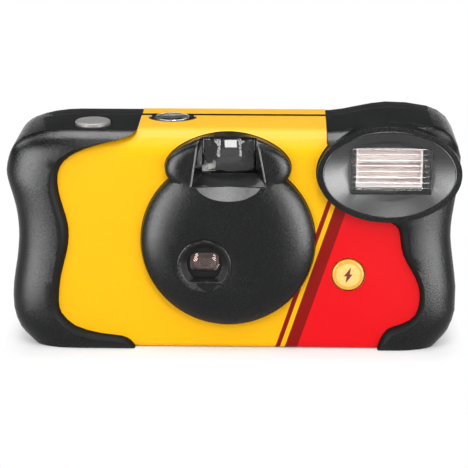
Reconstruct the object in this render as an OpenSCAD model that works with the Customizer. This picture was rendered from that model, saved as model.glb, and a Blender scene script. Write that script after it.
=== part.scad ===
// Disposable 35 mm film camera with built-in flash.
// Front faces -Y, top faces +Z, the base rests on z = 0.

/* [Casing] */
// width over both grips
body_w = 120.5; // [118:0.5:123]
// height of the flat top deck
deck_z = 60; // [60:0.5:62]
// label face in front of the middle plane
front_y = 14.2; // [14.2:0.1:15.2]
// back face behind the middle plane
back_y = 16.2; // [16.2:0.1:17]
// parting line between the two covers
seam_y = 6; // [5:0.25:6.5]
// plastic wall of the covers
wall = 1.2; // [1:0.05:1.3]
// thickness of the paper label
label_t = 0.3; // [0.2:0.05:0.4]
// how far the grips stand in front of the label
grip_rise = 2.4; // [1.6:0.1:3]
// roundness of the grip edges across the front
edge_inset = 6.5; // [5:0.25:7]
// roundness of the grip edges along the depth
edge_depth = 6.5; // [5:0.5:8]
// how far in from each side the grips begin to fall back
grip_end_a = 14; // [12:0.5:15]
// how far the grips fall back at the sides
grip_end_b = 6.5; // [5:0.25:7]
// roundness of the label between front and deck
label_round = 7; // [5:0.5:7.5]
// bare strip between each label and the parting line
label_seam = 1; // [0.5:0.05:1.2]
// free play between covers and inner pieces
clearance = 0.35; // [0.3:0.05:0.45]

/* [Lens panel] */
// lens panel centre across
dome_x = -1.2; // [-2:0.1:0]
// lens panel centre height
dome_z = 30.3; // [29.5:0.1:31]
// lens panel radius
dome_r = 23.2; // [22.5:0.1:24]
// lens panel front plane
dome_front = 19.2; // [19:0.1:20]
// taking lens axis across
lens_x = -7.4; // [-8:0.1:-7]
// taking lens axis height
lens_z = 24.7; // [24.5:0.1:25]
// rim radius of the lens recess
lens_rim_r = 7.1; // [6.8:0.1:7.6]
// taking lens radius
lens_r = 4; // [3.8:0.1:4.1]

/* [Viewfinder] */
// viewfinder axis across
vf_x = -1; // [-1.5:0.1:-0.5]
// front window above the shutter parts
vf_gap = 0.2; // [0.2:0.05:0.4]
// front window width
vf_w = 13.8; // [12.8:0.1:14.2]
// front window height
vf_h = 9; // [8:0.1:9.2]
// eyepiece width
eye_w = 5.6; // [5:0.1:6.4]
// eyepiece height
eye_h = 5; // [4.5:0.1:5.4]

/* [Flash] */
// flash pod centre height
flash_z = 49.4; // [49.1:0.1:49.9]
// flash pod half width
pod_a = 19.1; // [18.6:0.1:19.2]
// flash pod half height
pod_b = 13.1; // [12.8:0.1:13.3]
// flash window width
flash_w = 20.9; // [19.5:0.1:21.5]
// flash window height
flash_h = 12.2; // [11.6:0.1:12.6]
// flash button centre across
fbtn_x = 30.85; // [30:0.1:31.5]
// flash button centre height
fbtn_z = 21.2; // [20.8:0.1:21.6]
// flash button radius
fbtn_r = 4.25; // [4:0.05:4.5]
// flash button stroke
fbtn_travel = 0.8; // [0.6:0.1:0.8]

/* [Deck] */
// shutter button centre across
btn_x = -37.5; // [-37.8:0.1:-37.2]
// shutter button centre in depth
btn_y = -4.9; // [-5.1:0.1:-4.7]
// shutter button radius
btn_r = 4.75; // [4.5:0.05:4.9]
// shutter button stroke
btn_travel = 1.1; // [0.8:0.1:1.2]
// counter window centre across
count_x = -16.7; // [-17:0.1:-16.4]
// counter window centre in depth
count_y = 2.2; // [2:0.1:2.4]
// counter window radius
count_r = 4.6; // [4.3:0.05:4.7]

/* [Film] */
// film cartridge radius
cart_r = 12.3; // [12:0.05:12.4]
// film cartridge length over the caps
cart_h = 42; // [41.6:0.1:42.4]
// film cartridge axis across
cart_x = -42.9; // [-43:0.05:-42.8]
// film width
film_w = 35; // [34.5:0.1:35]
// film thickness as modelled
film_t = 0.2; // [0.15:0.05:0.2]
// radius of the wound film roll
roll_r = 7.7; // [7:0.1:7.8]
// film roll axis across
roll_x = 33.5; // [33:0.1:33.6]
// thumbwheel radius
wheel_r = 14.7; // [14.4:0.05:14.7]
// number of ridges round the thumbwheel
wheel_teeth = 66; // [48:6:72]
// number of sprocket teeth
sprocket_teeth = 8; // [8:1:8]
// number of counter wheel teeth
counter_teeth = 30; // [28:1:32]

/* [Power] */
// battery radius
cell_r = 7.1; // [6.9:0.05:7.1]
// battery length
cell_l = 50.4; // [50:0.1:50.5]
// capacitor radius
cap_r = 6.3; // [6:0.05:6.3]
// capacitor length
cap_l = 30; // [28:0.5:32]

/* [Hidden] */
$fn = 48;
far = 200;
// overlap that joins touching solids
bite = 0.1;
// gap of a seated fit
fit = 0.1;
// gap of a turning fit
axle_gap = 0.05;
// gap between pieces that pass each other
run_gap = 0.3;

half_w = body_w / 2;
core_front = front_y - label_t;
inner_front = core_front - wall;
inner_back = back_y - wall;
grip_front = front_y + grip_rise;
back_inset = 3;
back_depth = 4;
foot_round = 1.8;
heel_round = 3.4;
seam_gap = 0.1;
label_gap = 0.15;
// inner face of the covers under the label
floor_z = label_t + wall;
// sides of the label where it runs over the deck and the back
strap_x = [-25.2, 24.8];
// sides of the label where it runs under the base
base_x = [-26.4, 39];

cart_play = 0.2;
lip_offset = 9.4;
cart_y = inner_back - cart_play - cart_r;
film_y = cart_y + lip_offset;
gate_y = film_y - film_t;
gate_t = 1.5;
roll_play = 0.15;
roll_y = film_y - film_t - roll_play - roll_r;
roll_wall = 1;
roll_chamber_r = roll_r + 1;
core_r = 4;
roll_axle_r = 2;
cart_z0 = lens_z - cart_h / 2;
cart_z1 = lens_z + cart_h / 2;
chamber_gap = 0.4;
chamber_t = 1;
chamber_top = cart_z1 + run_gap;
chamber_roof = 0.8;
wheel_lift = 1.8;
wheel_z = cart_z1 + wheel_lift;
wheel_t = 3;
wheel_top = wheel_z + wheel_t;
wheel_axle_r = 1.5;
hub_r = 5.2;
spool_r = 3;

// margin of the film gate above and below the film
film_margin = 1.6;
plate_z = lens_z + film_w / 2 + film_margin;
plate_t = 1.4;
plate_top = plate_z + plate_t;
gate_z0 = lens_z - film_w / 2 - film_margin;
board_y = -10.4;
board_t = 1.4;
board_front = board_y - board_t;

sprocket_x = -23.6;
sprocket_r = 5.9;
tooth_gap = 0.25;
sprocket_y = gate_y + film_t / 2 - tooth_gap - sprocket_r;
sprocket_z = lens_z + 13.3;
shaft_r = 1.5;
cam_r = 2.6;
counter_x = -15.4;
count_tip_r = 6.6;
count_z = deck_z - 3;
count_t = 0.9;
count_pin_r = 1.2;

kick_x = -8;
kick_y = -3;
kick_z = plate_top + 1.8;
kick_t = 1.6;
kick_pin_r = 1.2;
kick_arm = 10.5;
blade_y = board_front - 0.25;
blade_t = 0.3;
blade_pin_r = 1;
blade_pivot_z = lens_z + 11;
lever_x = -26.7;
lever_z = wheel_top + 3.7;
lever_t = 1.6;
lever_y = [-6.8, -3];
lever_pin_r = 1;

vf_z = kick_z + kick_t + vf_gap + vf_h / 2;
mount_half = 7.3;
pcb_y = -8.1;
pcb_t = 1.2;
pcb_face = pcb_y - pcb_t;
pcb_left = 13;
pcb_top = plate_z - 0.6;
leaf_t = 0.3;
cell_y = -4;
cell_z = floor_z + run_gap + cell_r;
cell_x0 = -27.5;
nub = 1.2;
cap_gap = 0.5;
cap_x = roll_x + roll_chamber_r + roll_wall + cap_gap + cap_r;

flash_x = half_w - pod_a;
flash_cx = flash_x + 0.55;
flash_cz = flash_z + 0.4;
pod_front = 16.8;
hood_z = vf_z - 2.7;
hood_a = 16.6;
hood_b = 8.6;
hood_front = 17.8;
facet_z = [vf_z - 10.8, vf_z - 7.3];
eye_z = vf_z - 1.3;
pipe_x = flash_x - 13.95;
pipe_z = flash_z + 2.6;
pipe_r = 1.6;

hinge_x = -29.2;
hinge_z = 0.7;
hinge_pin_r = 0.45;
hinge_hole_r = 0.8;
door_top = 6;
door_front = cart_y - cart_r - 0.4;
door_back = inner_back;
door_gap = 0.15;
// the hinge keeps to the flat part of the base
hinge_y = [door_front + 1.8, back_y - back_depth + 0.4];

// direction of a smooth curve at b on its way from a to c
function heading(a, b, c) = (c - a) / (norm(c - b) + norm(b - a));

// point at share t of the way from b to c, leaving along u and arriving along v
function curve_at(b, c, u, v, t) =
    let (l = norm(c - b))
    b * (2 * t * t * t - 3 * t * t + 1) + c * (3 * t * t - 2 * t * t * t)
    + u * l * (t * t * t - 2 * t * t + t) + v * l * (t * t * t - t * t);

// closed smooth curve through points; level and upright stretches stay straight
function smooth_loop(p, steps) =
    let (n = len(p))
    [for (i = [0 : n - 1])
        let (a = p[(i + n - 1) % n], b = p[i], c = p[(i + 1) % n], d = p[(i + 2) % n],
             m = min(abs(b[0] - c[0]), abs(b[1] - c[1])) < 0.001 ? 1 : steps)
        for (k = [0 : m - 1])
            curve_at(b, c, heading(a, b, c), heading(b, c, d), k / m)];

// points of a loop moved inwards, each along the middle of its corner
function inset_loop(p, by) =
    let (n = len(p))
    [for (i = [0 : n - 1])
        let (a = p[i] - p[(i + n - 1) % n], b = p[(i + 1) % n] - p[i],
             t = a / norm(a) + b / norm(b))
        p[i] - by * 2 / (t * t) * [t[1], -t[0]]];

function arc(c, r, a0, a1, n) =
    [for (k = [0 : n]) c + r * [cos(a0 + (a1 - a0) * k / n), sin(a0 + (a1 - a0) * k / n)]];

// body edge behind the flash pod, fuller than an ellipse on its outer side
function pod_at(a) =
    let (full = a < 90 ? 0.7 : 1, side = sign(cos(a)), rise = sign(sin(a)))
    [flash_x + (half_w - flash_x) * side * pow(abs(cos(a)), full),
     flash_z + pod_b * rise * pow(abs(sin(a)), full)];

// body outline seen from the front: side inset and share of the deck height
left_side = [[18, 1], [11, 0.99], [5.5, 0.963], [2.9, 0.934], [1.6, 0.906], [0.7, 0.868], [0, 0.81],
             [0.3, 0.765], [1.2, 0.71], [2.2, 0.64], [2.7, 0.57], [2.75, 0.5], [2.1, 0.4], [0.95, 0.285],
             [0.8, 0.167], [2.45, 0.08], [5, 0.03], [7.2, -0.005], [10, -0.033], [15, -0.05]];
right_side = [[14, -0.05], [9.5, -0.033], [6.4, -0.005], [4.4, 0.03], [2.05, 0.08], [0.35, 0.17],
              [0.35, 0.28], [1.35, 0.408], [2.15, 0.517], [1.9, 0.608]];
// the outline runs on below the flat base by this much
foot_drop = 2.5;
body_knots = concat([for (p = left_side) [p[0] - half_w, max(-foot_drop, p[1] * deck_z)]],
                    [for (p = right_side) [half_w - p[0], max(-foot_drop, p[1] * deck_z)]],
                    [for (a = [-22, 8, 36, 62, 90, 116]) pod_at(a)],
                    [[26, deck_z]]);
body_loop = [for (p = smooth_loop(body_knots, 2))
                [p[0], max(-foot_drop, p[0] < 26 ? min(deck_z, p[1]) : p[1])]];

// label outline seen from the front
label_left = [[strap_x[0], 1], [-27, 0.982], [-30.8, 0.961], [-36.1, 0.938], [-41.4, 0.905],
              [-44.7, 0.865], [-46.3, 0.81], [-46.2, 0.73], [-45.2, 0.662], [-44, 0.583],
              [-43.8, 0.523], [-44.4, 0.453], [-46.2, 0.335], [-46.9, 0.218], [-46.2, 0.161],
              [-42.5, 0.1], [-35.8, 0.066], [-29.8, 0.053], [-27.6, 0.035], [base_x[0], 0]];
label_right = [[base_x[1], 0], [39.8, 0.045], [41.6, 0.095], [45.8, 0.123], [49, 0.161], [50.2, 0.232],
               [49.8, 0.303], [47.9, 0.373], [45.6, 0.442], [44.7, 0.512], [44.1, 0.567],
               [42.2, 0.594], [38, 0.62], [30, 0.8], [strap_x[1], 0.95], [strap_x[1], 1]];
over = 2;
label_knots = concat([[strap_x[0], deck_z + over]], [for (p = label_left) [p[0], p[1] * deck_z]],
                     [[base_x[0], -over], [base_x[1], -over]],
                     [for (p = label_right) [p[0], p[1] * deck_z]],
                     [[strap_x[1], deck_z + over]]);
label_loop = smooth_loop(label_knots, 2);

// solid through rings of equally many points, from back to front
module loft(rings) {
    n = len(rings[0]);
    m = len(rings);
    ends = [[0, rings[0][0][1], deck_z / 2], [0, rings[m - 1][0][1], deck_z / 2]];
    sides = [for (r = [0 : m - 2]) for (i = [0 : n - 1])
                let (a = r * n + i, b = r * n + (i + 1) % n)
                each [[a, a + n, b + n], [a, b + n, b]]];
    back = [for (i = [0 : n - 1]) [n * m, i, (i + 1) % n]];
    front = [for (i = [0 : n - 1])
                [n * m + 1, (m - 1) * n + (i + 1) % n, (m - 1) * n + i]];
    polyhedron(concat([for (r = rings) each r], ends), concat(sides, back, front), convexity = 6);
}

// ring of the rounded front: the loop drawn in towards the middle, turned by a
function front_ring(loop, shrink, a) =
    let (mid = deck_z / 2, in_x = grip_end_a / half_w * (1 - cos(a)),
         in_z = edge_inset / mid * (1 - cos(a)))
    [for (p = loop)
        let (side = pow(p[0] / half_w, 4), fall = edge_depth + (grip_end_b - edge_depth) * side)
        [p[0] * (1 - in_x), -(grip_front - shrink) + fall * (1 - sin(a)), mid + (p[1] - mid) * (1 - in_z)]];

// body rounded at the front and the back, before the flat base is cut
module body_loft(shrink) {
    steps = 8;
    loop = inset_loop(body_loop, shrink);
    back = [for (k = [0 : 3]) let (a = 90 - 30 * k)
               [for (p = inset_loop(body_loop, shrink + back_inset * (1 - cos(a))))
                   [p[0], back_y - shrink - back_depth * (1 - sin(a)), p[1]]]];
    front = [for (k = [0 : steps]) front_ring(loop, shrink, 90 * k / steps)];
    loft(concat(back, front));
}

// outer body, or its hollow when shrunk by the wall
module body_form(shrink) {
    intersection() {
        body_loft(shrink);
        box([-far, far], [-far, far], [shrink, far]);
    }
}

// cross profile of the body under the label, shrunk by s
module core_profile(s) {
    foot = foot_round - s;
    heel = heel_round - s;
    crown = label_round - s;
    f = -(front_y - s);
    b = back_y - s;
    top = deck_z - s;
    polygon(concat(arc([f + foot, s + foot], foot, 270, 180, 4),
                   arc([f + crown, top - crown], crown, 180, 90, 12),
                   arc([b - heel, top - heel], heel, 90, 0, 8),
                   arc([b - foot, s + foot], foot, 0, -90, 4)));
}

module along_x(x0, x1) {
    translate([x0, 0, 0])
        rotate([90, 0, 90])
            linear_extrude(x1 - x0)
                children();
}

// flat figure drawn in x and z, from y0 forward to y1
module along_y(y0, y1) {
    translate([0, y0, 0])
        rotate([90, 0, 0])
            linear_extrude(y0 - y1)
                children();
}

module core(s) {
    along_x(-half_w - 1, half_w + 1)
        core_profile(s);
}

module box(x, y, z) {
    translate([x[0], y[0], z[0]])
        cube([x[1] - x[0], y[1] - y[0], z[1] - z[0]]);
}

// turned solid about an axis along the depth, heights count forwards
module turned_y(x, z) {
    translate([x, 0, z])
        rotate([90, 0, 0])
            rotate_extrude()
                children();
}

// rod along the depth from y0 forward to y1
module rod_y(x, z, r, y0, y1) {
    translate([x, y0, z])
        rotate([90, 0, 0])
            cylinder(r = r, h = y0 - y1);
}

module rod_x(y, z, r, x0, x1) {
    translate([x0, y, z])
        rotate([0, 90, 0])
            cylinder(r = r, h = x1 - x0);
}

module rod_z(x, y, r, z0, z1) {
    translate([x, y, z0])
        cylinder(r = r, h = z1 - z0);
}

// space in front of the label, its edges flared so that the grips end round
module label_space(grow) {
    steps = 4;
    flare = [for (k = [0 : steps]) let (a = 90 * k / steps)
                [-grow - grip_rise * (1 - cos(a)), -front_y - grip_rise * sin(a)]];
    rings = concat([[-grow, back_y + over]], flare, [[-grow - grip_rise, -grip_front - over]]);
    loft([for (r = rings) [for (p = inset_loop(label_loop, r[0])) [p[0], r[1], p[1]]]]);
}

module rear_space() {
    box(strap_x, [seam_y, back_y + over], [-over, deck_z + over]);
}

// domed front of the lens panel as half profile, shrunk by s
module dome_profile(s) {
    steps = 7;
    flat_r = 11;
    rim = 14.9;
    root = inner_front - 0.5;
    polygon(concat([[0, root], [dome_r - s, root]],
                   [for (k = [0 : steps]) let (a = 90 * k / steps)
                       [flat_r - s + (dome_r - flat_r) * cos(a),
                        rim - s + (dome_front - rim) * sin(a)]],
                   [[0, dome_front - s]]));
}

module dome(s, sides) {
    turned_y(dome_x, dome_z, $fn = sides)
        dome_profile(s);
}

// hood over the viewfinder, a flat oval with a round front edge
module hood() {
    round_r = 2.2;
    root = 6;
    translate([dome_x, 0, hood_z])
        scale([hood_a / hood_b, 1, 1])
            rotate([90, 0, 0])
                rotate_extrude($fn = 56)
                    polygon(concat([[0, root], [hood_b, root]],
                                   arc([hood_b - round_r, hood_front - round_r], round_r, 0, 90, 5),
                                   [[0, hood_front]]));
}

// funnel in front of the viewfinder window
module finder_funnel() {
    mouth = 17.2;
    throat = 12.4;
    mouth_a = 9.9;
    shaft_end = 6;
    hull() {
        box([vf_x - mouth_a, vf_x + mouth_a], [-dome_front - 1, -mouth], [facet_z[1], deck_z + 0.5]);
        box([vf_x - vf_w / 2, vf_x + vf_w / 2], [-throat - bite, -throat],
            [vf_z - vf_h / 2, vf_z + vf_h / 2]);
    }
    box([vf_x - vf_w / 2, vf_x + vf_w / 2], [-throat - 0.5, -shaft_end],
        [vf_z - vf_h / 2, vf_z + vf_h / 2]);
}

// crescent facet below the viewfinder, cut by a cone that narrows towards the back
module finder_facet() {
    facet_a = 11;
    depth = 2;
    rise = facet_z[1] - facet_z[0];
    r = (facet_a * facet_a + rise * rise) / (2 * rise);
    intersection() {
        translate([vf_x, -dome_front + depth, facet_z[0] + r])
            rotate([90, 0, 0])
                cylinder(r1 = r - rise, r2 = r + rise / depth, h = depth + 1, $fn = 96);
        box([-far, far], [-far, 0], [0, facet_z[1] + bite]);
    }
}

// oval pod round the flash, its front dished
module pod(a, b, y0, y1) {
    translate([flash_x, y0, flash_z])
        scale([a / b, 1, 1])
            rotate([90, 0, 0])
                cylinder(r = b, h = y0 - y1, $fn = 64);
}

module flash_dish() {
    depth = 2.9;
    rim = 1.4;
    lift = 0.3;
    floor_share = 0.6;
    bend_share = 0.7;
    bend_rise = 0.4;
    b = pod_b - rim;
    low = pod_front - depth;
    translate([flash_x, 0, flash_z])
        scale([(pod_a - rim) / b, 1, 1])
            rotate([90, 0, 0])
                rotate_extrude($fn = 64)
                    polygon([[0, low], [floor_share * b, low], [bend_share * b, low + bend_rise],
                             [b, pod_front + lift], [b, pod_front + over], [0, pod_front + over]]);
}

module flash_opening(grow) {
    shaft_end = 6;
    box([flash_cx - flash_w / 2 - grow, flash_cx + flash_w / 2 + grow],
        [-pod_front - 1, -shaft_end],
        [flash_cz - flash_h / 2 - grow, flash_cz + flash_h / 2 + grow]);
}

// round recess in front of the lens with a flat sloping ledge at its foot
module lens_cone() {
    rim_t = 0.7;
    throat_r = lens_r + 0.7;
    throat_h = dome_front - 2.2;
    back_h = dome_front - 4;
    cone_h = dome_front + 0.05;
    ledge = lens_z - 4.5;
    ledge_slope = 0.3;
    ledge_low = 9;
    ledge_y = [-dome_front - over, -back_h + 1];
    difference() {
        turned_y(lens_x, lens_z, $fn = 44)
            polygon([[0, back_h], [throat_r, back_h], [throat_r, throat_h], [lens_rim_r - rim_t, cone_h],
                     [lens_rim_r - rim_t, dome_front + over], [0, dome_front + over]]);
        along_x(lens_x - lens_rim_r, lens_x + lens_rim_r)
            polygon([[ledge_y[0], ledge - ledge_low], [ledge_y[1], ledge - ledge_low],
                     [ledge_y[1], ledge + ledge_slope * (ledge_y[1] + dome_front)],
                     [ledge_y[0], ledge + ledge_slope * (ledge_y[0] + dome_front)]]);
    }
}

// shallow sloping moat round the rim of the lens recess
module lens_moat() {
    moat_r = 9.7;
    moat_depth = 0.45;
    turned_y(lens_x, lens_z, $fn = 60)
        polygon([[lens_rim_r, dome_front - moat_depth], [moat_r, dome_front],
                 [moat_r, dome_front + over], [lens_rim_r, dome_front + over]]);
}

// thicker wall of the lens panel behind the lens recess
module lens_boss() {
    boss_t = 2.4;
    boss_rim = 1;
    rod_y(lens_x, lens_z, lens_rim_r + boss_rim, -dome_front + boss_t, -dome_front, $fn = 44);
}

// opening under the film cartridge, grown by g on the free sides
module door_space(g) {
    box([-far, hinge_x + hinge_z + g], [door_front - g, door_back + g], [-over, door_top + g]);
}

// hinge pins of the door, longer than its barrel by reach at each end
module door_pins(r, reach) {
    rod_y(hinge_x, hinge_z, r, hinge_y[1] + reach, hinge_y[0] - reach, $fn = 24);
}

// snap tab of the front cover inside the rear cover; side is 1 at the top, -1 at the base
module snap_tab(x, z, side) {
    tab_w = 5;
    tab_t = 1.1;
    root = [4, 1.5];
    tip = [0.4, 2.4];
    grip = 0.25;
    z0 = side > 0 ? z - tab_t : z;
    lift = -side * grip;
    hull() {
        box([x, x + tab_w], [seam_y - root[0], seam_y - root[1]], [z0, z0 + tab_t]);
        box([x, x + tab_w], [seam_y + tip[0], seam_y + tip[1]], [z0 + lift, z0 + lift + tab_t]);
    }
}

top_tabs = [-41, -33, 9, 17];
base_tabs = [-24, -10, 4, 30, 40];

module cavity() {
    intersection() {
        body_form(wall);
        core(floor_z);
    }
    difference() {
        body_form(wall);
        label_space(wall);
        box([-far, far], [seam_y, far], [-far, far]);
    }
}

module front_cover() {
    tab_bite = 0.05;
    pod_side = 0.15;
    panel_wall = wall + 0.3;
    hollow_top = vf_z - 13.3;
    color([0.1, 0.1, 0.1])
        union() {
            difference() {
                union() {
                    difference() {
                        body_form(0);
                        difference() {
                            label_space(0);
                            core(label_t);
                        }
                    }
                    dome(0, 72);
                    hood();
                    pod(pod_a - pod_side, pod_b - pod_side, -4, -pod_front);
                }
                difference() {
                    union() {
                        cavity();
                        intersection() {
                            dome(panel_wall, 36);
                            box([-far, far], [-far, 0], [0, hollow_top]);
                        }
                    }
                    lens_boss();
                    pod(pod_a + 1, pod_b + 1, -inner_front + 0.2, -far);
                }
                box([-far, far], [seam_y, far], [-far, far]);
                finder_funnel();
                finder_facet();
                flash_dish();
                flash_opening(fit);
                lens_cone();
                lens_moat();
                rod_y(fbtn_x, fbtn_z, fbtn_r + clearance, 0, -far);
                rod_z(btn_x, btn_y, btn_r + clearance, deck_z - 5, deck_z + 5);
                rod_z(count_x, count_y, count_r + clearance, deck_z - 5, deck_z + 5);
                door_space(door_gap);
                door_pins(hinge_hole_r, 1.1);
            }
            for (x = top_tabs)
                snap_tab(x, deck_z - (x > strap_x[0] && x < strap_x[1] ? label_t : 0) - wall + tab_bite, 1);
            for (x = base_tabs)
                snap_tab(x, floor_z - tab_bite, -1);
        }
}

module rear_cover() {
    ribs = 8;
    rib_pitch = 4.2;
    rib_x = [-26, 22];
    rib_root = 0.9;
    rib_tip = 0.4;
    rib_gap = 0.2;
    slot_a = 8.4;
    through = 10;
    color([0.1, 0.1, 0.1])
        union() {
            difference() {
                body_form(0);
                difference() {
                    rear_space();
                    core(label_t);
                }
                cavity();
                box([-far, far], [-far, seam_y + seam_gap], [-far, far]);
                box([vf_x - eye_w / 2 - fit, vf_x + eye_w / 2 + fit], [through, far],
                    [eye_z - eye_h / 2 - fit, eye_z + eye_h / 2 + fit]);
                box([cart_x - slot_a, cart_x + slot_a], [through, far],
                    [wheel_z - clearance, wheel_top + clearance]);
                rod_y(pipe_x, pipe_z, pipe_r + fit, far, through);
                rod_z(count_x, count_y, count_r + clearance, deck_z - 5, deck_z + 5);
                door_space(door_gap);
                door_pins(hinge_hole_r, 1.1);
                // shallow hollow behind the film cartridge
                rod_z(cart_x, cart_y, cart_r + clearance, cart_z0 - 1, cart_z1 + 0.8);
            }
            // ribs that press the film flat
            for (k = [0 : ribs - 1])
                let (z = lens_z + rib_pitch * (k - (ribs - 1) / 2), tip_y = film_y + film_t + rib_gap)
                    hull() {
                        box(rib_x, [inner_back - label_t - bite, inner_back], [z - rib_root, z + rib_root]);
                        box([rib_x[0] + 1, rib_x[1] - 1], [tip_y, tip_y + 0.2], [z - rib_tip, z + rib_tip]);
                    }
        }
}

module film_door() {
    latch_t = 0.8;
    latch_a = 3;
    latch_x = -half_w + 3.25;
    rest_gap = 0.2;
    rest = [6, 1];
    color([0.11, 0.11, 0.11])
        union() {
            difference() {
                intersection() {
                    body_loft(0);
                    box([-far, hinge_x], [door_front, door_back - door_gap], [0, door_top]);
                }
                body_form(wall);
            }
            rod_y(hinge_x, hinge_z, hinge_z, hinge_y[1], hinge_y[0]);
            door_pins(hinge_pin_r, 0.9);
            // rest under the film cartridge
            box([cart_x - rest[0], cart_x + rest[0]], [cart_y - rest[1], cart_y + rest[1]],
                [wall - rest_gap, cart_z0 - rest_gap]);
            box([latch_x, latch_x + latch_t], [cart_y - latch_a, cart_y + latch_a],
                [door_top - 2.6, door_top + 1.3]);
        }
}

// pointed oval surround of the counter window, drawn in x and y
module eye_figure() {
    long_a = 6.8;
    long_b = 5.2;
    back = 0.4;
    big = (long_a * long_a + long_b * long_b) / (2 * long_b);
    intersection_for (side = [-1, 1])
        translate([count_x, count_y + back + side * (big - long_b)])
            circle(r = big);
}

module label_skin() {
    difference() {
        core(0);
        core(label_t);
    }
}

// oval hole of half width a and half height b through the front of the label
module oval_hole(x, z, a, b) {
    translate([x, 0, z])
        rotate([90, 0, 0])
            linear_extrude(far)
                scale([a / b, 1])
                    circle(r = b);
}

module front_label() {
    color([1, 0.78, 0.05])
        difference() {
            intersection() {
                label_skin();
                along_y(seam_y - label_seam, -front_y - over)
                    polygon(inset_loop(label_loop, label_gap));
            }
            rod_y(dome_x, dome_z, dome_r + label_gap, 0, -far);
            oval_hole(dome_x, hood_z, hood_a + label_gap, hood_b + label_gap);
            oval_hole(flash_x, flash_z, pod_a + label_gap, pod_b + label_gap);
            rod_y(fbtn_x, fbtn_z, fbtn_r + clearance, 0, -far);
            translate([0, 0, deck_z - 5])
                linear_extrude(10)
                    eye_figure();
        }
}

module rear_label() {
    margin = 0.6;
    through = 10;
    color([1, 0.78, 0.05])
        difference() {
            intersection() {
                label_skin();
                box([strap_x[0] + label_gap, strap_x[1] - label_gap], [seam_y + label_seam, back_y + over],
                    [-over, deck_z + over]);
            }
            box([vf_x - eye_w / 2 - margin, vf_x + eye_w / 2 + margin], [through, far],
                [eye_z - eye_h / 2 - margin, eye_z + eye_h / 2 + margin]);
            translate([0, 0, deck_z - 5])
                linear_extrude(10)
                    eye_figure();
        }
}

// ring wall about a vertical axis
module ring_z(x, y, r0, r1, z0, z1) {
    difference() {
        rod_z(x, y, r1, z0, z1);
        rod_z(x, y, r0, z0 - 1, z1 + 1);
    }
}

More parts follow.
